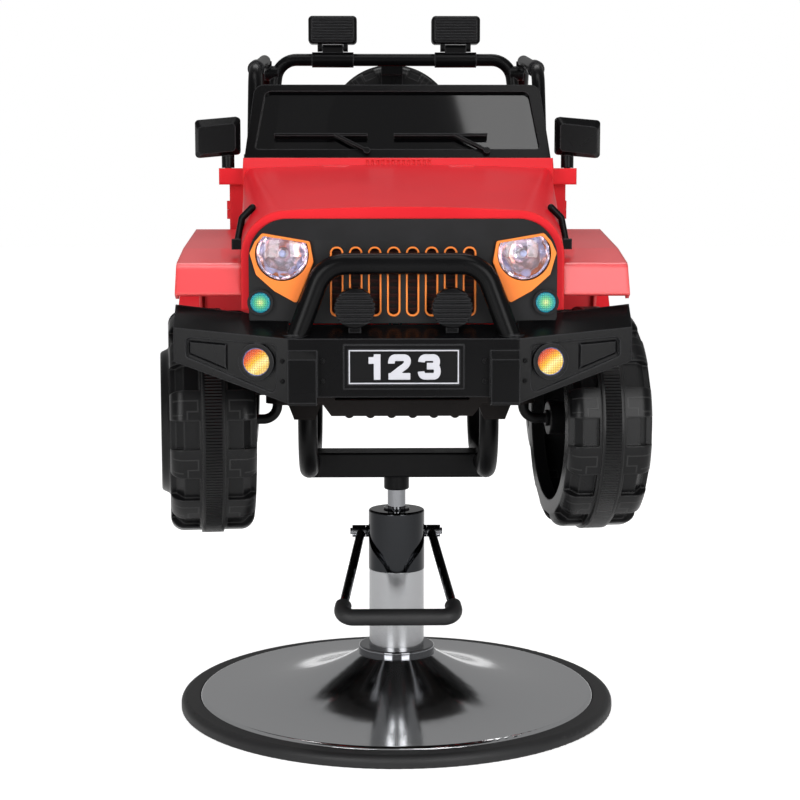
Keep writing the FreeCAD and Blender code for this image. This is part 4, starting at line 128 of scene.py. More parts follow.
def sweepLines(name, thick, lines, closed=False):
    # round bars along smooth lines, as one mesh
    curve = bpy.data.curves.new(name, "CURVE")
    curve.dimensions = "3D"
    curve.bevel_depth = thick
    curve.bevel_resolution = 3
    curve.use_fill_caps = not closed
    for points in lines:
        line = curve.splines.new("NURBS")
        line.points.add(len(points) - 1)
        for point, spot in zip(line.points, points):
            point.co = (*spot, 1)
        line.order_u = 3
        line.use_cyclic_u = closed
        line.use_endpoint_u = not closed
    obj = bpy.data.objects.new(name, curve)
    bpy.context.scene.collection.objects.link(obj)
    pick(obj)
    bpy.ops.object.convert(target="MESH")
    return bpy.context.object


def joinCopies(source, places):
    # one object of copies that face the front, in place of the source
    copies = []
    for place in places:
        copy = source.copy()
        copy.data = source.data.copy()
        copy.rotation_euler = (math.radians(90), 0, 0)
        copy.location = place
        bpy.context.scene.collection.objects.link(copy)
        copies.append(copy)
    bpy.data.objects.remove(source)
    deselectAll()
    for copy in copies:
        copy.select_set(True)
    bpy.context.view_layer.objects.active = copies[0]
    bpy.ops.object.join()
    return bpy.context.object


def settle(obj, name, mat, body):
    # names a finished piece, puts its place into its mesh and lets it ride
    pick(obj)
    bpy.ops.object.transform_apply(location=True, rotation=True, scale=True)
    obj.name = name
    obj.data.materials.clear()
    obj.data.materials.append(mat)
    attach(obj, body)
    return obj


# Finishes

skin = {"drift": 9.0, "toneFrom": 0.3, "toneTo": 0.7, "wornLitFrom": 0.99, "wornLitTo": 0.75, "wearAndHighlight": 0.3,
        "smoother": 0.04, "rougher": 0.05, "depth": 0.0004, "coatRoughness": 0.06}


def addSkin(tree, place, look, color=None, height=None, depth=0.0):
    # what moulded and coated pieces share: a drifting tone, a fine grain and softened edges painted lighter,
    # partly as wear and partly as a painted edge highlight
    drift = addNode(tree, "ShaderNodeTexNoise", {"Scale": look.get("drift", skin["drift"]), "Detail": 2.0},
                    {"Vector": (place, "Object")})
    if color is None:
        tone = addNode(tree, "ShaderNodeValToRGB", {}, {"Fac": (drift, "Fac")})
        setRamp(tone, [(skin["toneFrom"], look["colorLow"]), (skin["toneTo"], look["colorHigh"])])
        color = (tone, "Color")
    edge = addNode(tree, "ShaderNodeBevel", {"samples": 4, "Radius": look["edge"]})
    flat = addNode(tree, "ShaderNodeNewGeometry")
    facing = addNode(tree, "ShaderNodeVectorMath", {"operation": "DOT_PRODUCT"},
                     {0: (edge, "Normal"), 1: (flat, "Normal")})
    # painted highlight and wear: where the rounded normal turns away from the flat one, the colour is mixed
    # towards the lighter edge colour
    wornAndHighlit = addNode(tree, "ShaderNodeMapRange",
                   {"From Min": skin["wornLitFrom"], "From Max": skin["wornLitTo"], "To Min": 0.0,
                    "To Max": look.get("wearAndHighlight", skin["wearAndHighlight"])}, {"Value": (facing, "Value")})
    paint = addNode(tree, "ShaderNodeMix", {"data_type": "RGBA", 7: hexColor(look["colorWornAndHighlit"])},
                    {0: (wornAndHighlit, "Result"), 6: color})
    rough = addNode(tree, "ShaderNodeMapRange",
                    {"To Min": look["roughness"] - skin["smoother"],
                     "To Max": look["roughness"] + skin["rougher"]}, {"Value": (drift, "Fac")})
    grain = addNode(tree, "ShaderNodeTexNoise",
                    {"Scale": 1000 / look["grainMm"], "Detail": 3.0, "Roughness": 0.6},
                    {"Vector": (place, "Object")})
    bump = addNode(tree, "ShaderNodeBump", {"Strength": look["grain"], "Distance": skin["depth"]},
                   {"Height": (grain, "Fac"), "Normal": (edge, "Normal")})
    if height is not None:
        bump = addNode(tree, "ShaderNodeBump", {"Strength": 1.0, "Distance": depth},
                       {"Height": height, "Normal": (bump, "Normal")})
    shader = addNode(tree, "ShaderNodeBsdfPrincipled",
                     {"IOR": 1.5, "Specular IOR Level": look.get("gloss", 0.5),
                      "Coat Weight": look.get("coat", 0.0), "Coat Roughness": skin["coatRoughness"]},
                     {"Base Color": (paint, 2), "Roughness": (rough, "Result"), "Normal": (bump, "Normal")})
    addNode(tree, "ShaderNodeOutputMaterial", {}, {"Surface": (shader, "BSDF")})


def mouldedPlastic(name, look):
    # injection-moulded ABS or PP: an even colour, a fine spark-eroded grain and a soft sheen
    mat, tree = startMaterial(name)
    place = addNode(tree, "ShaderNodeTexCoord")
    addSkin(tree, place, look)
    return mat


plating = {"hairScale": 60.0, "smoother": 0.7, "rougher": 1.4, "grainScale": 700.0, "depth": 0.0002}


def platedSteel(name, look):
    # chrome over polished steel: mirror-like, with a few faint hairlines left by the polishing mop
    mat, tree = startMaterial(name)
    place = addNode(tree, "ShaderNodeTexCoord")
    hair = addNode(tree, "ShaderNodeTexNoise", {"Scale": plating["hairScale"], "Detail": 6.0},
                   {"Vector": (place, "Object")})
    rough = addNode(tree, "ShaderNodeMapRange",
                    {"To Min": look["roughness"] * plating["smoother"],
                     "To Max": look["roughness"] * plating["rougher"]}, {"Value": (hair, "Fac")})
    edge = addNode(tree, "ShaderNodeBevel", {"samples": 4, "Radius": look["edge"]})
    grain = addNode(tree, "ShaderNodeTexNoise", {"Scale": plating["grainScale"], "Detail": 2.0},
                    {"Vector": (place, "Object")})
    bump = addNode(tree, "ShaderNodeBump", {"Strength": look["grain"], "Distance": plating["depth"]},
                   {"Height": (grain, "Fac"), "Normal": (edge, "Normal")})
    shader = addNode(tree, "ShaderNodeBsdfPrincipled", {"Base Color": hexColor(look["color"]), "Metallic": 1.0},
                     {"Roughness": (rough, "Result"), "Normal": (bump, "Normal")})
    addNode(tree, "ShaderNodeOutputMaterial", {}, {"Surface": (shader, "BSDF")})
    return mat


# glossy ABS of the body, coloured through: a clear, deep red that pales where a lamp is mirrored and along its
# edges, where a lighter orange-red is painted, partly as wear and partly as a painted highlight
redShell = mouldedPlastic("red gloss moulded ABS", {
    "colorLow": "#CC1F28", "colorHigh": "#D4252D", "colorWornAndHighlit": "#E8503F", "roughness": 0.3,
    "grainMm": 2.5, "grain": 0.04, "edge": 0.004, "coat": 0.02, "gloss": 0.08})
# the fenders take a copy of the body's red plastic, made glossier and painted a little lighter: the lighter
# colour is a painted sheen for the wide pale sheen they carry in front, and their lighter edges are painted
# highlight too
redFender = mouldedPlastic("red moulded ABS, fender copy with painted sheen", {
    "colorLow": "#D2252C", "colorHigh": "#DA2C33", "colorWornAndHighlit": "#F06A55", "roughness": 0.36,
    "grainMm": 2.5, "grain": 0.04, "edge": 0.006, "coat": 0.3, "gloss": 1.0})
# satin PP of the bumper, frame and tubes: nearly black, its edges painted a good deal lighter, a little as
# rubbing and mostly as a painted edge highlight
blackShell = mouldedPlastic("black satin moulded PP", {
    "colorLow": "#070708", "colorHigh": "#0B0B0C", "colorWornAndHighlit": "#4A4A4C", "roughness": 0.24,
    "grainMm": 0.9, "grain": 0.12, "edge": 0.0026, "gloss": 0.1, "wearAndHighlight": 0.8})
blackGrille = mouldedPlastic("black matt moulded ABS", {
    "colorLow": "#0F0F10", "colorHigh": "#18181A", "colorWornAndHighlit": "#3A3A3C", "roughness": 0.48,
    "grainMm": 0.7, "grain": 0.15, "edge": 0.002, "gloss": 0.2, "drift": 24.0})
brownGrey = mouldedPlastic("brown-grey moulded floor pan", {
    "colorLow": "#110E0D", "colorHigh": "#191514", "colorWornAndHighlit": "#3A322F", "roughness": 0.5,
    "grainMm": 1.2, "grain": 0.3, "edge": 0.003, "gloss": 0.1})
orangeShell = mouldedPlastic("orange moulded ABS", {
    "colorLow": "#EE7A26", "colorHigh": "#F2852E", "colorWornAndHighlit": "#FFB060", "roughness": 0.38,
    "grainMm": 0.8, "grain": 0.08, "edge": 0.0015, "gloss": 0.4})
coatedSteel = mouldedPlastic("black powder-coated steel", {
    "colorLow": "#09090A", "colorHigh": "#0D0D0E", "colorWornAndHighlit": "#262627", "roughness": 0.36,
    "grainMm": 0.6, "grain": 0.3, "edge": 0.002, "gloss": 0.12})
baseRubber = mouldedPlastic("black edge rubber", {
    "colorLow": "#1D1D1E", "colorHigh": "#262627", "colorWornAndHighlit": "#444445", "roughness": 0.5,
    "grainMm": 0.9, "grain": 0.3, "edge": 0.002, "gloss": 0.4})
gripRubber = mouldedPlastic("black grip rubber", {
    "colorLow": "#1C1C1D", "colorHigh": "#252526", "colorWornAndHighlit": "#3E3E3F", "roughness": 0.48,
    "grainMm": 0.7, "grain": 0.35, "edge": 0.002, "gloss": 0.4})
plateBlack = mouldedPlastic("black number plate", {
    "colorLow": "#0B0B0C", "colorHigh": "#0F0F10", "colorWornAndHighlit": "#222223", "roughness": 0.34,
    "grainMm": 0.8, "grain": 0.05, "edge": 0.001, "gloss": 0.12})
plateWhite = mouldedPlastic("white plate print", {
    "colorLow": "#B9B9C0", "colorHigh": "#C3C3C9", "colorWornAndHighlit": "#C3C3C9", "roughness": 0.45,
    "grainMm": 0.8, "grain": 0.05, "edge": 0.0003})
redLens = mouldedPlastic("red tail lens", {
    "colorLow": "#8E1016", "colorHigh": "#A81820", "colorWornAndHighlit": "#D84A44", "roughness": 0.16,
    "grainMm": 1.2, "grain": 0.05, "edge": 0.002, "coat": 0.5})
# the tube is a little satin from its polishing. The cap and lever are bright chrome but lie in the car's shade,
# and that shade is painted into their colour: the rod, collar and lever are painted darker than the tube, and
# the cap much darker
tubeChrome = platedSteel("satin chrome tube", {
    "color": "#ABACAE", "roughness": 0.22, "edge": 0.0015, "grain": 0.02})
chrome = platedSteel("polished chrome plate painted darker for shade", {
    "color": "#858689", "roughness": 0.045, "edge": 0.0015, "grain": 0.01})
# painted shade: the cap is the same chrome as the tube, painted nearly black
capChromePaintedShade = platedSteel("chrome plate painted dark for shade", {
    "color": "#313234", "roughness": 0.06, "edge": 0.0015, "grain": 0.01})
discChrome = platedSteel("chrome-plated pressed disc", {
    "color": "#DDDEE0", "roughness": 0.11, "edge": 0.001, "grain": 0.03})
zincSteel = platedSteel("zinc-plated steel", {
    "color": "#85878B", "roughness": 0.35, "edge": 0.001, "grain": 0.05})


def seatSkin():
    # leatherette: pebbled grain of about 1.4 mm over a soft, slightly shiny vinyl
    mat, tree = startMaterial("black seat leatherette")
    place = addNode(tree, "ShaderNodeTexCoord")
    pebble = addNode(tree, "ShaderNodeTexVoronoi", {"feature": "SMOOTH_F1", "Scale": 700.0},
                     {"Vector": (place, "Object")})
    addSkin(tree, place, {"colorLow": "#161617", "colorHigh": "#1E1E1F", "colorWornAndHighlit": "#2E2E2F",
                          "roughness": 0.45, "grainMm": 6.0, "grain": 0.2, "edge": 0.001},
            height=(pebble, "Distance"), depth=0.00035)
    return mat


def slottedMesh():
    # the plastic mesh behind the grille: fine level lines over dark red-brown
    mat, tree = startMaterial("dark brown grille mesh")
    place = addNode(tree, "ShaderNodeTexCoord")
    wave = addNode(tree, "ShaderNodeTexWave", {"bands_direction": "Z", "Scale": 39.0, "Distortion": 0.0},
                   {"Vector": (place, "Object")})
    tone = addNode(tree, "ShaderNodeValToRGB", {}, {"Fac": (wave, "Fac")})
    setRamp(tone, [(0.2, "#0C0504"), (0.9, "#2A0D0A")])
    addSkin(tree, place, {"colorWornAndHighlit": "#2A0D0A", "roughness": 0.55, "grainMm": 1.0, "grain": 0.3,
                          "edge": 0.001, "gloss": 0.2}, (tone, "Color"))
    return mat


def tintedPane():
    # dark tinted acrylic: nearly black and glossy, with a faint view of what is behind it
    mat, tree = startMaterial("dark tinted acrylic")
    place = addNode(tree, "ShaderNodeTexCoord")
    drift = addNode(tree, "ShaderNodeTexNoise", {"Scale": 6.0, "Detail": 1.0}, {"Vector": (place, "Object")})
    rough = addNode(tree, "ShaderNodeMapRange", {"To Min": 0.03, "To Max": 0.06}, {"Value": (drift, "Fac")})
    shader = addNode(tree, "ShaderNodeBsdfPrincipled",
                     {"Base Color": hexColor("#020203"), "IOR": 1.49, "Alpha": 0.96},
                     {"Roughness": (rough, "Result")})
    addNode(tree, "ShaderNodeOutputMaterial", {}, {"Surface": (shader, "BSDF")})
    return mat


def clearLens():
    # clear polycarbonate lamp lens with upright flutes moulded behind the face
    mat, tree = startMaterial("clear polycarbonate lens")
    place = addNode(tree, "ShaderNodeTexCoord")
    flute = addNode(tree, "ShaderNodeTexWave", {"Scale": 31.0, "Distortion": 0.0, "bands_direction": "X"},
                    {"Vector": (place, "Object")})
    bump = addNode(tree, "ShaderNodeBump", {"Strength": 0.15, "Distance": 0.001}, {"Height": (flute, "Fac")})
    shader = addNode(tree, "ShaderNodeBsdfPrincipled",
                     {"Base Color": hexColor("#FBFBFD"), "IOR": 1.45, "Roughness": 0.03,
                      "Transmission Weight": 1.0}, {"Normal": (bump, "Normal")})
    addNode(tree, "ShaderNodeOutputMaterial", {}, {"Surface": (shader, "BSDF")})
    return mat


def facetedBowl():
    # vacuum-plated reflector: facets of about 11 mm, each painted pink to orange towards its rim as a painted
    # reflection of the red and orange round it
    mat, tree = startMaterial("vacuum-plated faceted reflector")
    place = addNode(tree, "ShaderNodeTexCoord")
    facets = addNode(tree, "ShaderNodeTexVoronoi", {"feature": "F1", "Scale": 90.0},
                     {"Vector": (place, "Object")})
    tone = addNode(tree, "ShaderNodeValToRGB", {}, {"Fac": (facets, "Distance")})
    setRamp(tone, [(0.2, "#F6F4FC"), (0.6, "#EEDDE2"), (0.85, "#E2B8A8")])
    bump = addNode(tree, "ShaderNodeBump", {"Strength": 0.5, "Distance": 0.0016},
                   {"Height": (facets, "Distance")})
    shader = addNode(tree, "ShaderNodeBsdfPrincipled", {"Metallic": 1.0, "Roughness": 0.12},
                     {"Base Color": (tone, "Color"), "Normal": (bump, "Normal")})
    addNode(tree, "ShaderNodeOutputMaterial", {}, {"Surface": (shader, "BSDF")})
    return mat


def lampFace(tree, place, lens):
    # offsets from the middle of the lamp on this side of the car, and the distance from it in lamp radii
    split = addNode(tree, "ShaderNodeSeparateXYZ", {}, {"Vector": (place, "Object")})
    side = addNode(tree, "ShaderNodeMath", {"operation": "SIGN"}, {0: (split, "X")})
    centre = addNode(tree, "ShaderNodeMath", {"operation": "MULTIPLY", 1: lens["x"]}, {0: (side, 0)})
    across = addNode(tree, "ShaderNodeMath", {"operation": "SUBTRACT"}, {0: (split, "X"), 1: (centre, 0)})
    up = addNode(tree, "ShaderNodeMath", {"operation": "SUBTRACT", 1: lens["z"]}, {0: (split, "Z")})
    flat = addNode(tree, "ShaderNodeCombineXYZ", {}, {"X": (across, 0), "Y": (up, 0)})
    reach = addNode(tree, "ShaderNodeVectorMath", {"operation": "LENGTH"}, {0: (flat, 0)})
    share = addNode(tree, "ShaderNodeMath", {"operation": "DIVIDE", 1: lens["radius"]}, {0: (reach, "Value")})
    return across, up, share


lensLook = {"colorWornAndHighlit": "#9AA0B8", "roughness": 0.18, "grainMm": 1.2, "grain": 0.05, "edge": 0.0008,
            "gloss": 0.5, "wearAndHighlight": 0.2, "prismFrom": 0.7, "prismDepth": 0.0003, "rimFrom": 0.93}


def prismLens(name, lens):
    # small moulded lamp lens: a foil behind it shines through hundreds of tiny prisms
    mat, tree = startMaterial(name)
    place = addNode(tree, "ShaderNodeTexCoord")
    across, up, share = lampFace(tree, place, lens)
    slantX = addNode(tree, "ShaderNodeMath", {"operation": "MULTIPLY_ADD", 1: lens["slantX"] / lens["radius"],
                                              2: lens["start"]}, {0: (across, 0)})
    slant = addNode(tree, "ShaderNodeMath", {"operation": "MULTIPLY_ADD", 1: lens["slantZ"] / lens["radius"]},
                    {0: (up, 0), 2: (slantX, 0)})
    blend = addNode(tree, "ShaderNodeMath", {"operation": "MULTIPLY_ADD", 1: lens["ring"]},
                    {0: (share, 0), 2: (slant, 0)})
    tone = addNode(tree, "ShaderNodeValToRGB", {}, {"Fac": (blend, 0)})
    setRamp(tone, lens["tones"])
    sines = []
    for offset in (across, up):
        wave = addNode(tree, "ShaderNodeMath", {"operation": "MULTIPLY", 1: 2 * math.pi / lens["pitch"]},
                       {0: (offset, 0)})
        sines.append(addNode(tree, "ShaderNodeMath", {"operation": "SINE"}, {0: (wave, 0)}))
    prisms = addNode(tree, "ShaderNodeMath", {"operation": "MAXIMUM"}, {0: (sines[0], 0), 1: (sines[1], 0)})
    gap = addNode(tree, "ShaderNodeMapRange",
                  {"From Min": lensLook["prismFrom"], "From Max": 1.0, "To Min": 0.0, "To Max": lens["gap"]},
                  {"Value": (prisms, 0)})
    dotted = addNode(tree, "ShaderNodeMix", {"data_type": "RGBA", 7: hexColor(lens["between"])},
                     {0: (gap, "Result"), 6: (tone, "Color")})
    rim = addNode(tree, "ShaderNodeMath", {"operation": "GREATER_THAN", 1: lensLook["rimFrom"]},
                  {0: (share, 0)})
    ringed = addNode(tree, "ShaderNodeMix", {"data_type": "RGBA", 7: hexColor(lens["rim"])},
                     {0: (rim, 0), 6: (dotted, 2)})
    addSkin(tree, place, lensLook, (ringed, 2), (prisms, 0), lensLook["prismDepth"])
    return mat


tealLens = prismLens("teal prism lens", {
    "x": 0.1595, "z": 0.593, "radius": 0.0117, "slantX": 0.0, "slantZ": 0.0, "start": 0.0, "ring": 1.0,
    "pitch": 0.0024, "gap": 0.8, "between": "#0B4C58", "rim": "#2C7C9C",
    "tones": [(0.05, "#E4F0A0"), (0.4, "#6CCB84"), (0.7, "#1FA79A"), (1.0, "#1B86A8")]})
amberLens = prismLens("amber prism lens", {
    "x": 0.163, "z": 0.529, "radius": 0.0156, "slantX": 0.26, "slantZ": -0.3, "start": 0.5, "ring": -0.06,
    "pitch": 0.0026, "gap": 0.75, "between": "#8E3A12", "rim": "#6F74A8",
    "tones": [(0.08, "#B8241A"), (0.26, "#E8641C"), (0.44, "#F6C022"), (0.58, "#FFF0A0"), (0.72, "#F3D060"),
              (1.0, "#E0B8A8")]})


# Wheels: blow-moulded black plastic, a band of fine cross ribs round the middle, a stepped groove on each lug

# each step of the groove's line runs from low to high along the lug's pitch, and from start to end outward
tread = {"ribPitch": 0.0037, "ribHalf": 0.0095, "ribHigh": 0.002, "lugHigh": 0.02, "line": 0.0009,
         "shine": 0.4, "depth": 0.0013, "cut": -2.0, "color": "#0D0D0E", "lip": "#3A3A3A",
         "steps": [(0.58, 0.58, 0.018, 0.046), (0.40, 0.58, 0.018, 0.018), (0.40, 0.40, 0.018, 0.030),
                   (0.28, 0.40, 0.030, 0.030), (0.34, 0.34, 0.036, 0.046)]}


def tyreBlack(name, centre, turn, radius, lugs, size=1.0):
    mat, tree = startMaterial(name)
    place = addNode(tree, "ShaderNodeTexCoord")
    local = addNode(tree, "ShaderNodeMapping", {"vector_type": "TEXTURE", "Location": centre,
                                                "Rotation": (0, 0, math.radians(turn))},
                    {"Vector": (place, "Object")})
    split = addNode(tree, "ShaderNodeSeparateXYZ", {}, {"Vector": (local, 0)})
    out = addNode(tree, "ShaderNodeMath", {"operation": "ABSOLUTE"}, {0: (split, "X")})
    ring = addNode(tree, "ShaderNodeCombineXYZ", {}, {"Y": (split, "Y"), "Z": (split, "Z")})
    reach = addNode(tree, "ShaderNodeVectorMath", {"operation": "LENGTH"}, {0: (ring, 0)})
    angle = addNode(tree, "ShaderNodeMath", {"operation": "ARCTAN2"}, {0: (split, "Y"), 1: (split, "Z")})
    # the fine ribs of the middle band
    ribCount = round(2 * math.pi * radius / tread["ribPitch"])
    ribs = addNode(tree, "ShaderNodeMath", {"operation": "MULTIPLY", 1: ribCount}, {0: (angle, 0)})
    wave = addNode(tree, "ShaderNodeMath", {"operation": "SINE"}, {0: (ribs, 0)})
    inBand = addNode(tree, "ShaderNodeMath", {"operation": "LESS_THAN", 1: tread["ribHalf"] * size},
                     {0: (out, 0)})
    onRib = addNode(tree, "ShaderNodeMath", {"operation": "GREATER_THAN", 1: radius - tread["ribHigh"]},
                    {0: (reach, "Value")})
    band = addNode(tree, "ShaderNodeMath", {"operation": "MULTIPLY"}, {0: (inBand, 0), 1: (onRib, 0)})
    height = addNode(tree, "ShaderNodeMath", {"operation": "MULTIPLY"}, {0: (wave, 0), 1: (band, 0)})
    # the stepped line on each lug, a few straight grooves put together
    pitch = 2 * math.pi / lugs
    count = addNode(tree, "ShaderNodeMath", {"operation": "DIVIDE", 1: pitch}, {0: (angle, 0)})
    along = addNode(tree, "ShaderNodeMath", {"operation": "FRACT"}, {0: (count, 0)})
    thin = tread["line"] / (radius * pitch)
    groove = None
    for low, high, start, end in tread["steps"]:
        inAlong = addNode(tree, "ShaderNodeMath", {"operation": "COMPARE", 1: (low + high) / 2,
                                                   2: (high - low) / 2 + thin}, {0: (along, 0)})
        inOut = addNode(tree, "ShaderNodeMath", {"operation": "COMPARE", 1: (start + end) / 2 * size,
                                                 2: (end - start) / 2 * size + tread["line"]}, {0: (out, 0)})
        step = addNode(tree, "ShaderNodeMath", {"operation": "MULTIPLY"}, {0: (inAlong, 0), 1: (inOut, 0)})
        if groove is not None:
            step = addNode(tree, "ShaderNodeMath", {"operation": "MAXIMUM"}, {0: (groove, 0), 1: (step, 0)})
        groove = step
    onLug = addNode(tree, "ShaderNodeMath", {"operation": "GREATER_THAN", 1: radius - tread["lugHigh"]},
                    {0: (reach, "Value")})
    cut = addNode(tree, "ShaderNodeMath", {"operation": "MULTIPLY"}, {0: (groove, 0), 1: (onLug, 0)})
    relief = addNode(tree, "ShaderNodeMath", {"operation": "MULTIPLY_ADD", 1: tread["cut"]},
                     {0: (cut, 0), 2: (height, 0)})
    # the grooves are painted a little lighter along their whole width: a painted highlight for the light their
    # lips catch
    lip = addNode(tree, "ShaderNodeMath", {"operation": "MULTIPLY", 1: tread["shine"]}, {0: (cut, 0)})
    tone = addNode(tree, "ShaderNodeMix",
                   {"data_type": "RGBA", 6: hexColor(tread["color"]), 7: hexColor(tread["lip"])},
                   {0: (lip, 0)})
    addSkin(tree, place, {"colorWornAndHighlit": "#3C3C3C", "roughness": 0.28, "grainMm": 1.3, "grain": 0.2,
                          "edge": 0.003, "gloss": 0.2, "wearAndHighlight": 0.7}, (tone, 2), (relief, 0), tread["depth"])
    return mat


# the front wheels stand out from their kingpins and are steered a little, as the car is drawn
wheels = {"steer": 6.3, "kingpin": 0.150, "standOut": 0.081, "rear": 0.260, "axle": 0.280, "height": 0.438,
          "radius": 0.136, "lugs": 12}
spare = {"centre": (0.0, 0.472, 0.802), "turn": 90.0, "radius": 0.104, "lugs": 16, "size": 0.6}

steer = math.radians(wheels["steer"])
for side, word in ((-1, "left"), (1, "right")):
    frontHub = (side * (wheels["kingpin"] + wheels["standOut"] * math.cos(steer)),
                -wheels["axle"] + side * wheels["standOut"] * math.sin(steer), wheels["height"])
    rearHub = (side * wheels["rear"], wheels["axle"], wheels["height"])
    dress(tyreBlack("black moulded wheel front " + word, frontHub, wheels["steer"], wheels["radius"],
                    wheels["lugs"]), "wheel_front_" + word)
    dress(tyreBlack("black moulded wheel rear " + word, rearHub, 0.0, wheels["radius"], wheels["lugs"]),
          "wheel_rear_" + word)
dress(tyreBlack("black moulded spare wheel", **spare), "spare_wheel")

seatVinyl = seatSkin()
dress(redShell, "hood", "tub", "door_left", "door_right")
dress(redFender, "front_fenders")
dress(blackShell, "front_bumper", "bull_bar", "screen_frame", "roll_cage", "dashboard", "seat_shell",
      "spare_carrier", "steering_wheel", "horn_button", "throttle_pedal", "mirror_left", "mirror_right",
      "hood_latches", "wipers", "spot_lamps", "roof_lamp_left", "roof_lamp_right")
dress(blackGrille, "grille_panel")
dress(slottedMesh(), "grille_mesh")
dress(brownGrey, "floor_pan")
dress(orangeShell, "grille_insert")
dress(coatedSteel, "rod_hub", "cross_beam", "cradle_tubes", "knuckle_left", "knuckle_right", "tie_rod",
      "rear_axle")
dress(baseRubber, "base_ring")
dress(gripRubber, "pedal_grip")
dress(seatVinyl, "seat_cushion", "back_cushion")
dress(tealLens, "signal_lamps")
dress(amberLens, "fog_lamps")
dress(redLens, "tail_lamps")
dress(plateBlack, "number_plate")
dress(tubeChrome, "pump_tube")
dress(chrome, "piston_rod", "base_collar", "pedal_lever")
dress(capChromePaintedShade, "pump_cap")
dress(discChrome, "base_disc")
dress(zincSteel, "base_bolts", "cradle_bolts", "pump_cylinder", "pump_plunger")
dress(facetedBowl(), "headlamp_bowls")
dress(tintedPane(), "screen_glass")
dress(clearLens(), "headlamp_lenses")
print("finishes done")


# Seat pads: sewn leatherette over foam, swollen by a short cloth simulation between their seams

pads = {
    "seatPad": {"node": "seat_cushion", "place": (0, 0.1105, 0.547), "lean": 0, "rise": 0.0,
                "width": 0.216, "length": 0.151, "narrow": 0.0},
    "backPad": {"node": "back_cushion", "place": (0, 0.204, 0.547), "lean": 76, "rise": 0.1317,
                "width": 0.216, "length": 0.167, "narrow": 0.14},
}
pad = {"thick": 0.021, "corner": 0.022, "edge": 0.006, "voxel": 0.005, "swell": 0.008, "plainSwell": 0.004,
       "welt": 0.0022, "weltStand": 0.0002, "seamBand": 0.003, "rimBand": 0.002, "channel": 0.036,
       "channelHalf": 0.0026, "channelEnd": 0.018, "frames": 20}
cushionCloth = {"quality": 5, "mass": 0.2, "tension_stiffness": 6, "compression_stiffness": 6,
                "bending_stiffness": 0.4, "use_pressure": True, "uniform_pressure_force": 4,
                "vertex_group_mass": "sewn"}


def narrowed(shape, y, length):
    # the pad's share of its full width at a place along it
    return 1 - shape["narrow"] * (y / length + 0.5)


def padOutline(shape, height):
    # the welt's path round the pad, in the pad's own flat place
    grow = pad["weltStand"]
    half, long, corner = shape["width"] / 2 + grow, shape["length"] / 2 + grow, pad["corner"] + grow
    points = []
    for turnX, turnY, start in ((1, 1, 0), (-1, 1, 90), (-1, -1, 180), (1, -1, 270)):
        for step in range(5):
            angle = math.radians(start + step * 22.5)
            x = turnX * (half - corner) + corner * math.cos(angle)
            y = turnY * (long - corner) + corner * math.sin(angle)
            points.append((x * narrowed(shape, y, 2 * long), y, height))
    return points


def swellPad(obj):
    # where the sewn points let it, the cover swells under the foam's pressure
    cloth = obj.modifiers.new("swell", "CLOTH")
    for key, value in cushionCloth.items():
        setattr(cloth.settings, key, value)
    cloth.settings.effector_weights.gravity = 0
    for step in range(1, pad["frames"] + 1):
        bpy.context.scene.frame_set(step)
    swollen = obj.evaluated_get(bpy.context.evaluated_depsgraph_get())
    moved = [vert.co.copy() for vert in swollen.data.vertices]
    obj.modifiers.remove(cloth)
    bpy.context.scene.frame_set(1)
    return moved


def makePad(name, shape):
    deselectAll()
    bpy.ops.mesh.primitive_cube_add(size=1, location=(0, 0, 0))
    obj = bpy.context.object
    obj.scale = (shape["width"], shape["length"], pad["thick"])
    obj.location = (0, 0, pad["thick"] / 2)
    bpy.ops.object.transform_apply(location=True, rotation=True, scale=True)
    selectParts(obj, "EDGE", lambda e: abs(e.verts[0].co.z - e.verts[1].co.z) > pad["thick"] / 2)
    bpy.ops.mesh.bevel(offset=pad["corner"], segments=6)
    selectParts(obj, "EDGE", lambda e: min(v.co.z for v in e.verts) > pad["thick"] / 2)
    bpy.ops.mesh.bevel(offset=pad["edge"], segments=3)
    bpy.ops.object.mode_set(mode="OBJECT")
    for vert in obj.data.vertices:
        vert.co.x *= narrowed(shape, vert.co.y, shape["length"])
    remeshEvenly(obj, pad["voxel"])
    sewn = obj.vertex_groups.new(name="sewn")
    seam = pad["thick"] - pad["edge"]
    for vert in obj.data.vertices:
        x, y, z = abs(vert.co.x / narrowed(shape, vert.co.y, shape["length"])), abs(vert.co.y), vert.co.z
        outward = max(x - shape["width"] / 2, y - shape["length"] / 2)
        atRim = abs(z - seam) < pad["seamBand"] and outward > -pad["rimBand"]
        inChannel = abs(x - pad["channel"]) < pad["channelHalf"] and y < shape["length"] / 2 - pad["channelEnd"]
        if z < pad["seamBand"] or atRim or (inChannel and z > seam):
            sewn.add([vert.index], 1.0, "REPLACE")
    rest = [vert.co.copy() for vert in obj.data.vertices]
    moved = swellPad(obj)
    print(name, "swelled by", round(1000 * max((a - b).length for a, b in zip(moved, rest)), 1), "mm")
    for vert, before, after in zip(obj.data.vertices, rest, moved):
        step = after - before
        if step.length > pad["swell"]:
            step = step.normalized() * pad["swell"]
        vert.co = before + step
        vert.co.z = max(vert.co.z, 0.0)
    smooth = obj.modifiers.new("finer", "SUBSURF")
    smooth.levels = 1
    smooth.render_levels = 1
    applyModifiers(obj)
    bpy.ops.object.shade_smooth()
    # the welt cord sewn into the seam
    welt = sweepLines(name + "Welt", pad["welt"], [padOutline(shape, seam)], closed=True)
    bpy.ops.object.shade_smooth()
    lean = math.radians(shape["lean"])
    for piece, title in ((obj, name), (welt, name + "Welt")):
        piece.rotation_euler = (lean, 0, 0)
        alongLean = Euler((lean, 0, 0)).to_matrix() @ Vector((0, shape["rise"], 0))
        piece.location = Vector(shape["place"]) + alongLean
        settle(piece, title, seatVinyl, "car")
    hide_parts(shape["node"])
    print(name, "done")


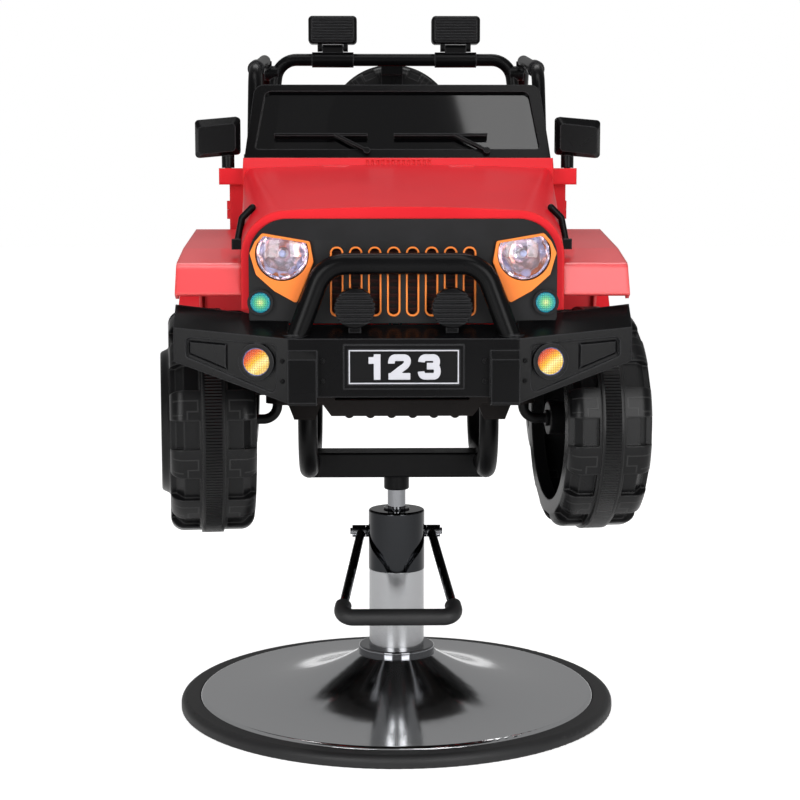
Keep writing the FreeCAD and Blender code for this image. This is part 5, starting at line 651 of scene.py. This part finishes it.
for name, shape in pads.items():
    makePad(name, shape)


# Number plate print: plain digits inside a thin line

# each digit's place across the plate, and the middle lines of its strokes in millimetres from there
digits = [(-0.031, [[(-8, 7.2), (-3, 7.2), (1.5, 8.5), (1.5, 12)], [(1.5, 14.2), (1.5, -14.2)]]),
          (-0.005, [[(-8.8, 3.8), (-8.8, 10.4), (0, 10.4), (9, 10.4), (9, 2.6), (0, -3.4), (-8, -10)],
                    [(-12, -10.4), (12.2, -10.4)]]),
          (0.028, [[(-8.6, 5.4), (-8, 10.4), (0, 10.4), (8.2, 10.4), (8.2, 0.9), (0, 0.9), (-2.6, 0.9)],
                   [(-2.6, 0.9), (0, 0.9), (9, 0.9), (9, -10.4), (0, -10.4), (-8.6, -10.4), (-9, -5)]])]
plate = {"stroke": 0.0038, "line": 0.0014, "inset": 0.0006, "stand": 0.0004, "voxel": 0.0005}


def makePlatePrint():
    low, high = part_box("number_plate")
    centre = (Vector(low) + Vector(high)) / 2
    front = low[1]
    strokes = [[(shift + x / 1000, y / 1000, 0) for x, y in stroke]
               for shift, lines in digits for stroke in lines]
    text = sweepLines("plateDigits", plate["stroke"], strokes)
    # the strokes of each digit become one skin, so that nothing shows where they cross
    remeshEvenly(text, plate["voxel"])
    text.scale = (1, 1, plate["stand"] / plate["stroke"])
    text.rotation_euler = (math.radians(90), 0, 0)
    text.location = (centre.x, front, centre.z)
    settle(text, "plateDigits", plateWhite, "car")
    deselectAll()
    bpy.ops.mesh.primitive_plane_add(size=1, location=(0, 0, 0))
    line = bpy.context.object
    line.scale = (high[0] - low[0] - 2 * plate["inset"], high[2] - low[2] - 2 * plate["inset"], 1)
    bpy.ops.object.transform_apply(location=False, rotation=False, scale=True)
    selectParts(line, "FACE", lambda f: True)
    bpy.ops.mesh.inset(thickness=plate["line"], depth=0)
    bpy.ops.mesh.delete(type="FACE")
    bpy.ops.mesh.select_all(action="SELECT")
    bpy.ops.mesh.extrude_region_move(TRANSFORM_OT_translate={"value": (0, 0, plate["stand"])})
    bpy.ops.mesh.select_all(action="SELECT")
    bpy.ops.mesh.normals_make_consistent(inside=False)
    bpy.ops.object.mode_set(mode="OBJECT")
    line.rotation_euler = (math.radians(90), 0, 0)
    line.location = (centre.x, front + plate["stand"] / 4, centre.z)
    settle(line, "plateBorder", plateWhite, "car")
    print("plate print done")


makePlatePrint()


# Bumper: socket screws beside the posts and a raised panel in each wing's recess

# a screw's chamfer, its socket's depth and how far it is sunk are shares of its stand
screws = {"radius": 0.0029, "stand": 0.0014, "socket": 0.0014, "chamfer": 0.45, "deep": 0.7, "sunk": 0.3,
          "places": [(0.0897, -0.488, 0.5304), (0.0897, -0.488, 0.508), (0.1343, -0.4865, 0.5304),
                     (0.1343, -0.4865, 0.508)]}
# the wing's face runs back from its bend
wing = {"corners": [(0.196, 0.5186), (0.240, 0.5358), (0.240, 0.5513), (0.196, 0.5483)], "floor": 0.0042,
        "stand": 0.0034, "chamfer": 0.0024, "front": -0.488, "back": 0.031, "bend": 0.128, "span": 0.129,
        "half": 0.01}


def makeScrews():
    deselectAll()
    bpy.ops.mesh.primitive_cylinder_add(vertices=20, radius=screws["radius"], depth=screws["stand"],
                                        location=(0, 0, 0))
    head = bpy.context.object
    selectParts(head, "EDGE", lambda e: min(v.co.z for v in e.verts) > 0)
    bpy.ops.mesh.bevel(offset=screws["stand"] * screws["chamfer"], segments=3)
    selectParts(head, "FACE", lambda f: f.normal.z > 0.99)
    bpy.ops.mesh.inset(thickness=screws["socket"], depth=0)
    bpy.ops.mesh.extrude_region_move(
        TRANSFORM_OT_translate={"value": (0, 0, -screws["stand"] * screws["deep"])})
    bpy.ops.object.mode_set(mode="OBJECT")
    obj = joinCopies(head, [(side * x, y - screws["stand"] * screws["sunk"], z)
                            for side in (-1, 1) for x, y, z in screws["places"]])
    bpy.ops.object.shade_smooth_by_angle(angle=math.radians(40))
    settle(obj, "bumperScrews", coatedSteel, "car")
    print("bumper screws done")


def makeWingPanel(side):
    # its outline follows the recess, its chamfer catches the light along the top
    def faceY(x):
        return wing["front"] + wing["back"] * (x - wing["bend"]) / wing["span"] + wing["floor"]
    deselectAll()
    half = wing["half"]
    bpy.ops.mesh.primitive_plane_add(size=2 * half, location=(0, 0, 0), rotation=(math.radians(90), 0, 0))
    obj = bpy.context.object
    bpy.ops.object.transform_apply(location=True, rotation=True, scale=True)
    for (turnX, turnZ), (x, z) in zip([(-1, -1), (1, -1), (1, 1), (-1, 1)], wing["corners"]):
        startX, startZ = turnX * half, turnZ * half
        selectParts(obj, "VERT", lambda v: max(abs(v.co.x - startX), abs(v.co.z - startZ)) < half / 10)
        bpy.ops.transform.translate(value=(x - startX, faceY(x), z - startZ))
    selectParts(obj, "FACE", lambda f: True)
    bpy.ops.mesh.extrude_region_move(TRANSFORM_OT_translate={"value": (0, -wing["stand"], 0)})
    selectParts(obj, "EDGE", lambda e: all(v.co.y < faceY(v.co.x) - wing["stand"] / 2 for v in e.verts))
    bpy.ops.mesh.bevel(offset=wing["chamfer"], segments=1)
    bpy.ops.mesh.select_all(action="SELECT")
    bpy.ops.mesh.normals_make_consistent(inside=False)
    bpy.ops.object.mode_set(mode="OBJECT")
    if side < 0:
        obj.scale = (-1, 1, 1)
        bpy.ops.object.transform_apply(location=True, rotation=True, scale=True)
        selectParts(obj, "FACE", lambda f: True)
        bpy.ops.mesh.normals_make_consistent(inside=False)
        bpy.ops.object.mode_set(mode="OBJECT")
    settle(obj, "wingPanel" + ("Left" if side < 0 else "Right"), blackShell, "car")


makeScrews()
makeWingPanel(-1)
makeWingPanel(1)
print("wing panels done")


# Headlamp bulbs: a small glass envelope in the middle of each reflector

bulb = {"x": 0.135, "z": 0.647, "radius": 0.0042, "tip": 0.004, "length": 0.013, "neck": 0.8}


def makeBulbs():
    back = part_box("headlamp_lenses")[1][1] + bulb["tip"]
    deselectAll()
    bpy.ops.mesh.primitive_uv_sphere_add(segments=20, ring_count=12, radius=bulb["radius"],
                                         location=(0, 0, 0))
    glass = bpy.context.object
    selectParts(glass, "VERT", lambda v: v.co.z < -0.0001)
    bpy.ops.transform.resize(value=(bulb["neck"], bulb["neck"], 1.0), center_override=(0, 0, 0))
    bpy.ops.transform.translate(value=(0, 0, -bulb["length"] + bulb["radius"] * 2))
    bpy.ops.object.mode_set(mode="OBJECT")
    obj = joinCopies(glass, [(side * bulb["x"], back + bulb["radius"], bulb["z"]) for side in (-1, 1)])
    bpy.ops.object.shade_smooth()
    glassLook = {"colorLow": "#B9C8FF", "colorHigh": "#DCE4FF", "colorWornAndHighlit": "#FFFFFF", "roughness": 0.12,
                 "grainMm": 2.0, "grain": 0.02, "edge": 0.0003}
    settle(obj, "headlampBulbs", mouldedPlastic("pale blue bulb glass", glassLook), "car")
    print("bulbs done")


makeBulbs()


# Camera, floor and light

studio = {"distance": 2.5, "height": 0.7405, "pitch": 7.18, "turn": 0.95, "aim": 0.11, "lens": 82.4,
          "ceilingLow": 0.0, "ceilingHigh": 0.04, "ceiling": 0.27, "fill": 0.42, "floor": 0.8,
          "floorGlow": 0.68, "mirrored": 0.4}
panels = {
    "leftPanel": {"place": (-1.35, -2.75, 1.1), "target": (0, 0, 0.6), "size": (1.3, 1.9), "power": 40},
    "rightPanel": {"place": (1.35, -2.75, 1.1), "target": (0, 0, 0.6), "size": (1.3, 1.9), "power": 40},
    "topPanel": {"place": (-0.2, -0.6, 3.0), "target": (0, 0, 0.6), "size": (1.4, 0.9), "power": 14},
    "screenPanel": {"place": (0.62, -1.55, 2.85), "target": (0.1, -0.09, 0.8), "size": (0.8, 1.0), "power": 9},
    "backPanel": {"place": (0, 1.7, 3.3), "target": (0, 0, 0.6), "size": (2.0, 1.0), "power": 22},
}


def makeCamera():
    turn = math.radians(studio["turn"])
    data = bpy.data.cameras.new("studioCamera")
    data.lens = studio["lens"]
    data.sensor_width = 36
    cam = bpy.data.objects.new("studioCamera", data)
    cam.location = (-studio["distance"] * math.sin(turn), -studio["distance"] * math.cos(turn),
                    studio["height"])
    cam.rotation_euler = Euler((math.radians(90 - studio["pitch"]), 0, -turn - math.radians(studio["aim"])))
    bpy.context.scene.collection.objects.link(cam)
    bpy.context.scene.camera = cam


def seenRays(tree):
    # 1 for rays that show the studio itself: straight to the camera, mirrored, or through glass
    rays = addNode(tree, "ShaderNodeLightPath")
    some = addNode(tree, "ShaderNodeMath", {"operation": "MAXIMUM"},
                   {0: (rays, "Is Camera Ray"), 1: (rays, "Is Glossy Ray")})
    seen = addNode(tree, "ShaderNodeMath", {"operation": "MAXIMUM"},
                   {0: (some, 0), 1: (rays, "Is Transmission Ray")})
    return rays, seen


def makeFloor():
    # a white floor that takes the object's shadow, and a plain glow that only seen rays get
    deselectAll()
    bpy.ops.mesh.primitive_plane_add(size=30, location=(0, 0, 0))
    floor = bpy.context.object
    floor.name = "studioFloor"
    mat, tree = startMaterial("white studio floor")
    rays, seen = seenRays(tree)
    dimmed = addNode(tree, "ShaderNodeMath", {"operation": "MULTIPLY", 1: studio["mirrored"]}, {0: (seen, 0)})
    shown = addNode(tree, "ShaderNodeMath", {"operation": "MAXIMUM"},
                    {0: (dimmed, 0), 1: (rays, "Is Camera Ray")})
    power = addNode(tree, "ShaderNodeMath", {"operation": "MULTIPLY", 1: studio["floorGlow"]}, {0: (shown, 0)})
    matte = addNode(tree, "ShaderNodeBsdfDiffuse", {"Color": (*[studio["floor"]] * 3, 1)})
    glow = addNode(tree, "ShaderNodeEmission", {"Color": (1, 1, 1, 1)}, {"Strength": (power, 0)})
    both = addNode(tree, "ShaderNodeAddShader", {}, {0: (matte, "BSDF"), 1: (glow, "Emission")})
    addNode(tree, "ShaderNodeOutputMaterial", {}, {"Surface": (both, "Shader")})
    floor.data.materials.append(mat)


def addPanel(name, place, target, size, power):
    data = bpy.data.lights.new(name, "AREA")
    data.shape = "RECTANGLE"
    data.size, data.size_y = size
    data.energy = power
    lamp = bpy.data.objects.new(name, data)
    lamp.location = place
    lamp.rotation_euler = (Vector(target) - Vector(place)).to_track_quat("-Z", "Y").to_euler()
    bpy.context.scene.collection.objects.link(lamp)


def makeLight():
    # white walls all round, and for mirrored rays a darker ceiling, so that chrome has something to show
    world = bpy.data.worlds.new("studio")
    bpy.context.scene.world = world
    world.use_nodes = True
    tree = world.node_tree
    tree.nodes.clear()
    rays, pickRay = seenRays(tree)
    place = addNode(tree, "ShaderNodeTexCoord")
    split = addNode(tree, "ShaderNodeSeparateXYZ", {}, {"Vector": (place, "Generated")})
    wall = addNode(tree, "ShaderNodeMapRange",
                   {"interpolation_type": "SMOOTHSTEP", "From Min": studio["ceilingLow"],
                    "From Max": studio["ceilingHigh"], "To Min": 1.0, "To Max": studio["ceiling"]},
                   {"Value": (split, "Z")})
    power = addNode(tree, "ShaderNodeMath", {"operation": "MAXIMUM"},
                    {0: (wall, "Result"), 1: (rays, "Is Camera Ray")})
    seen = addNode(tree, "ShaderNodeBackground", {"Color": (1, 1, 1, 1)}, {"Strength": (power, 0)})
    fill = addNode(tree, "ShaderNodeBackground", {"Color": (1, 1, 1, 1), "Strength": studio["fill"]})
    mix = addNode(tree, "ShaderNodeMixShader", {},
                  {"Fac": (pickRay, 0), 1: (fill, "Background"), 2: (seen, "Background")})
    addNode(tree, "ShaderNodeOutputWorld", {}, {"Surface": (mix, "Shader")})
    for name, panel in panels.items():
        addPanel(name, **panel)


makeCamera()
makeFloor()
makeLight()
bpy.context.scene.view_settings.view_transform = "Standard"
print("camera and light done")
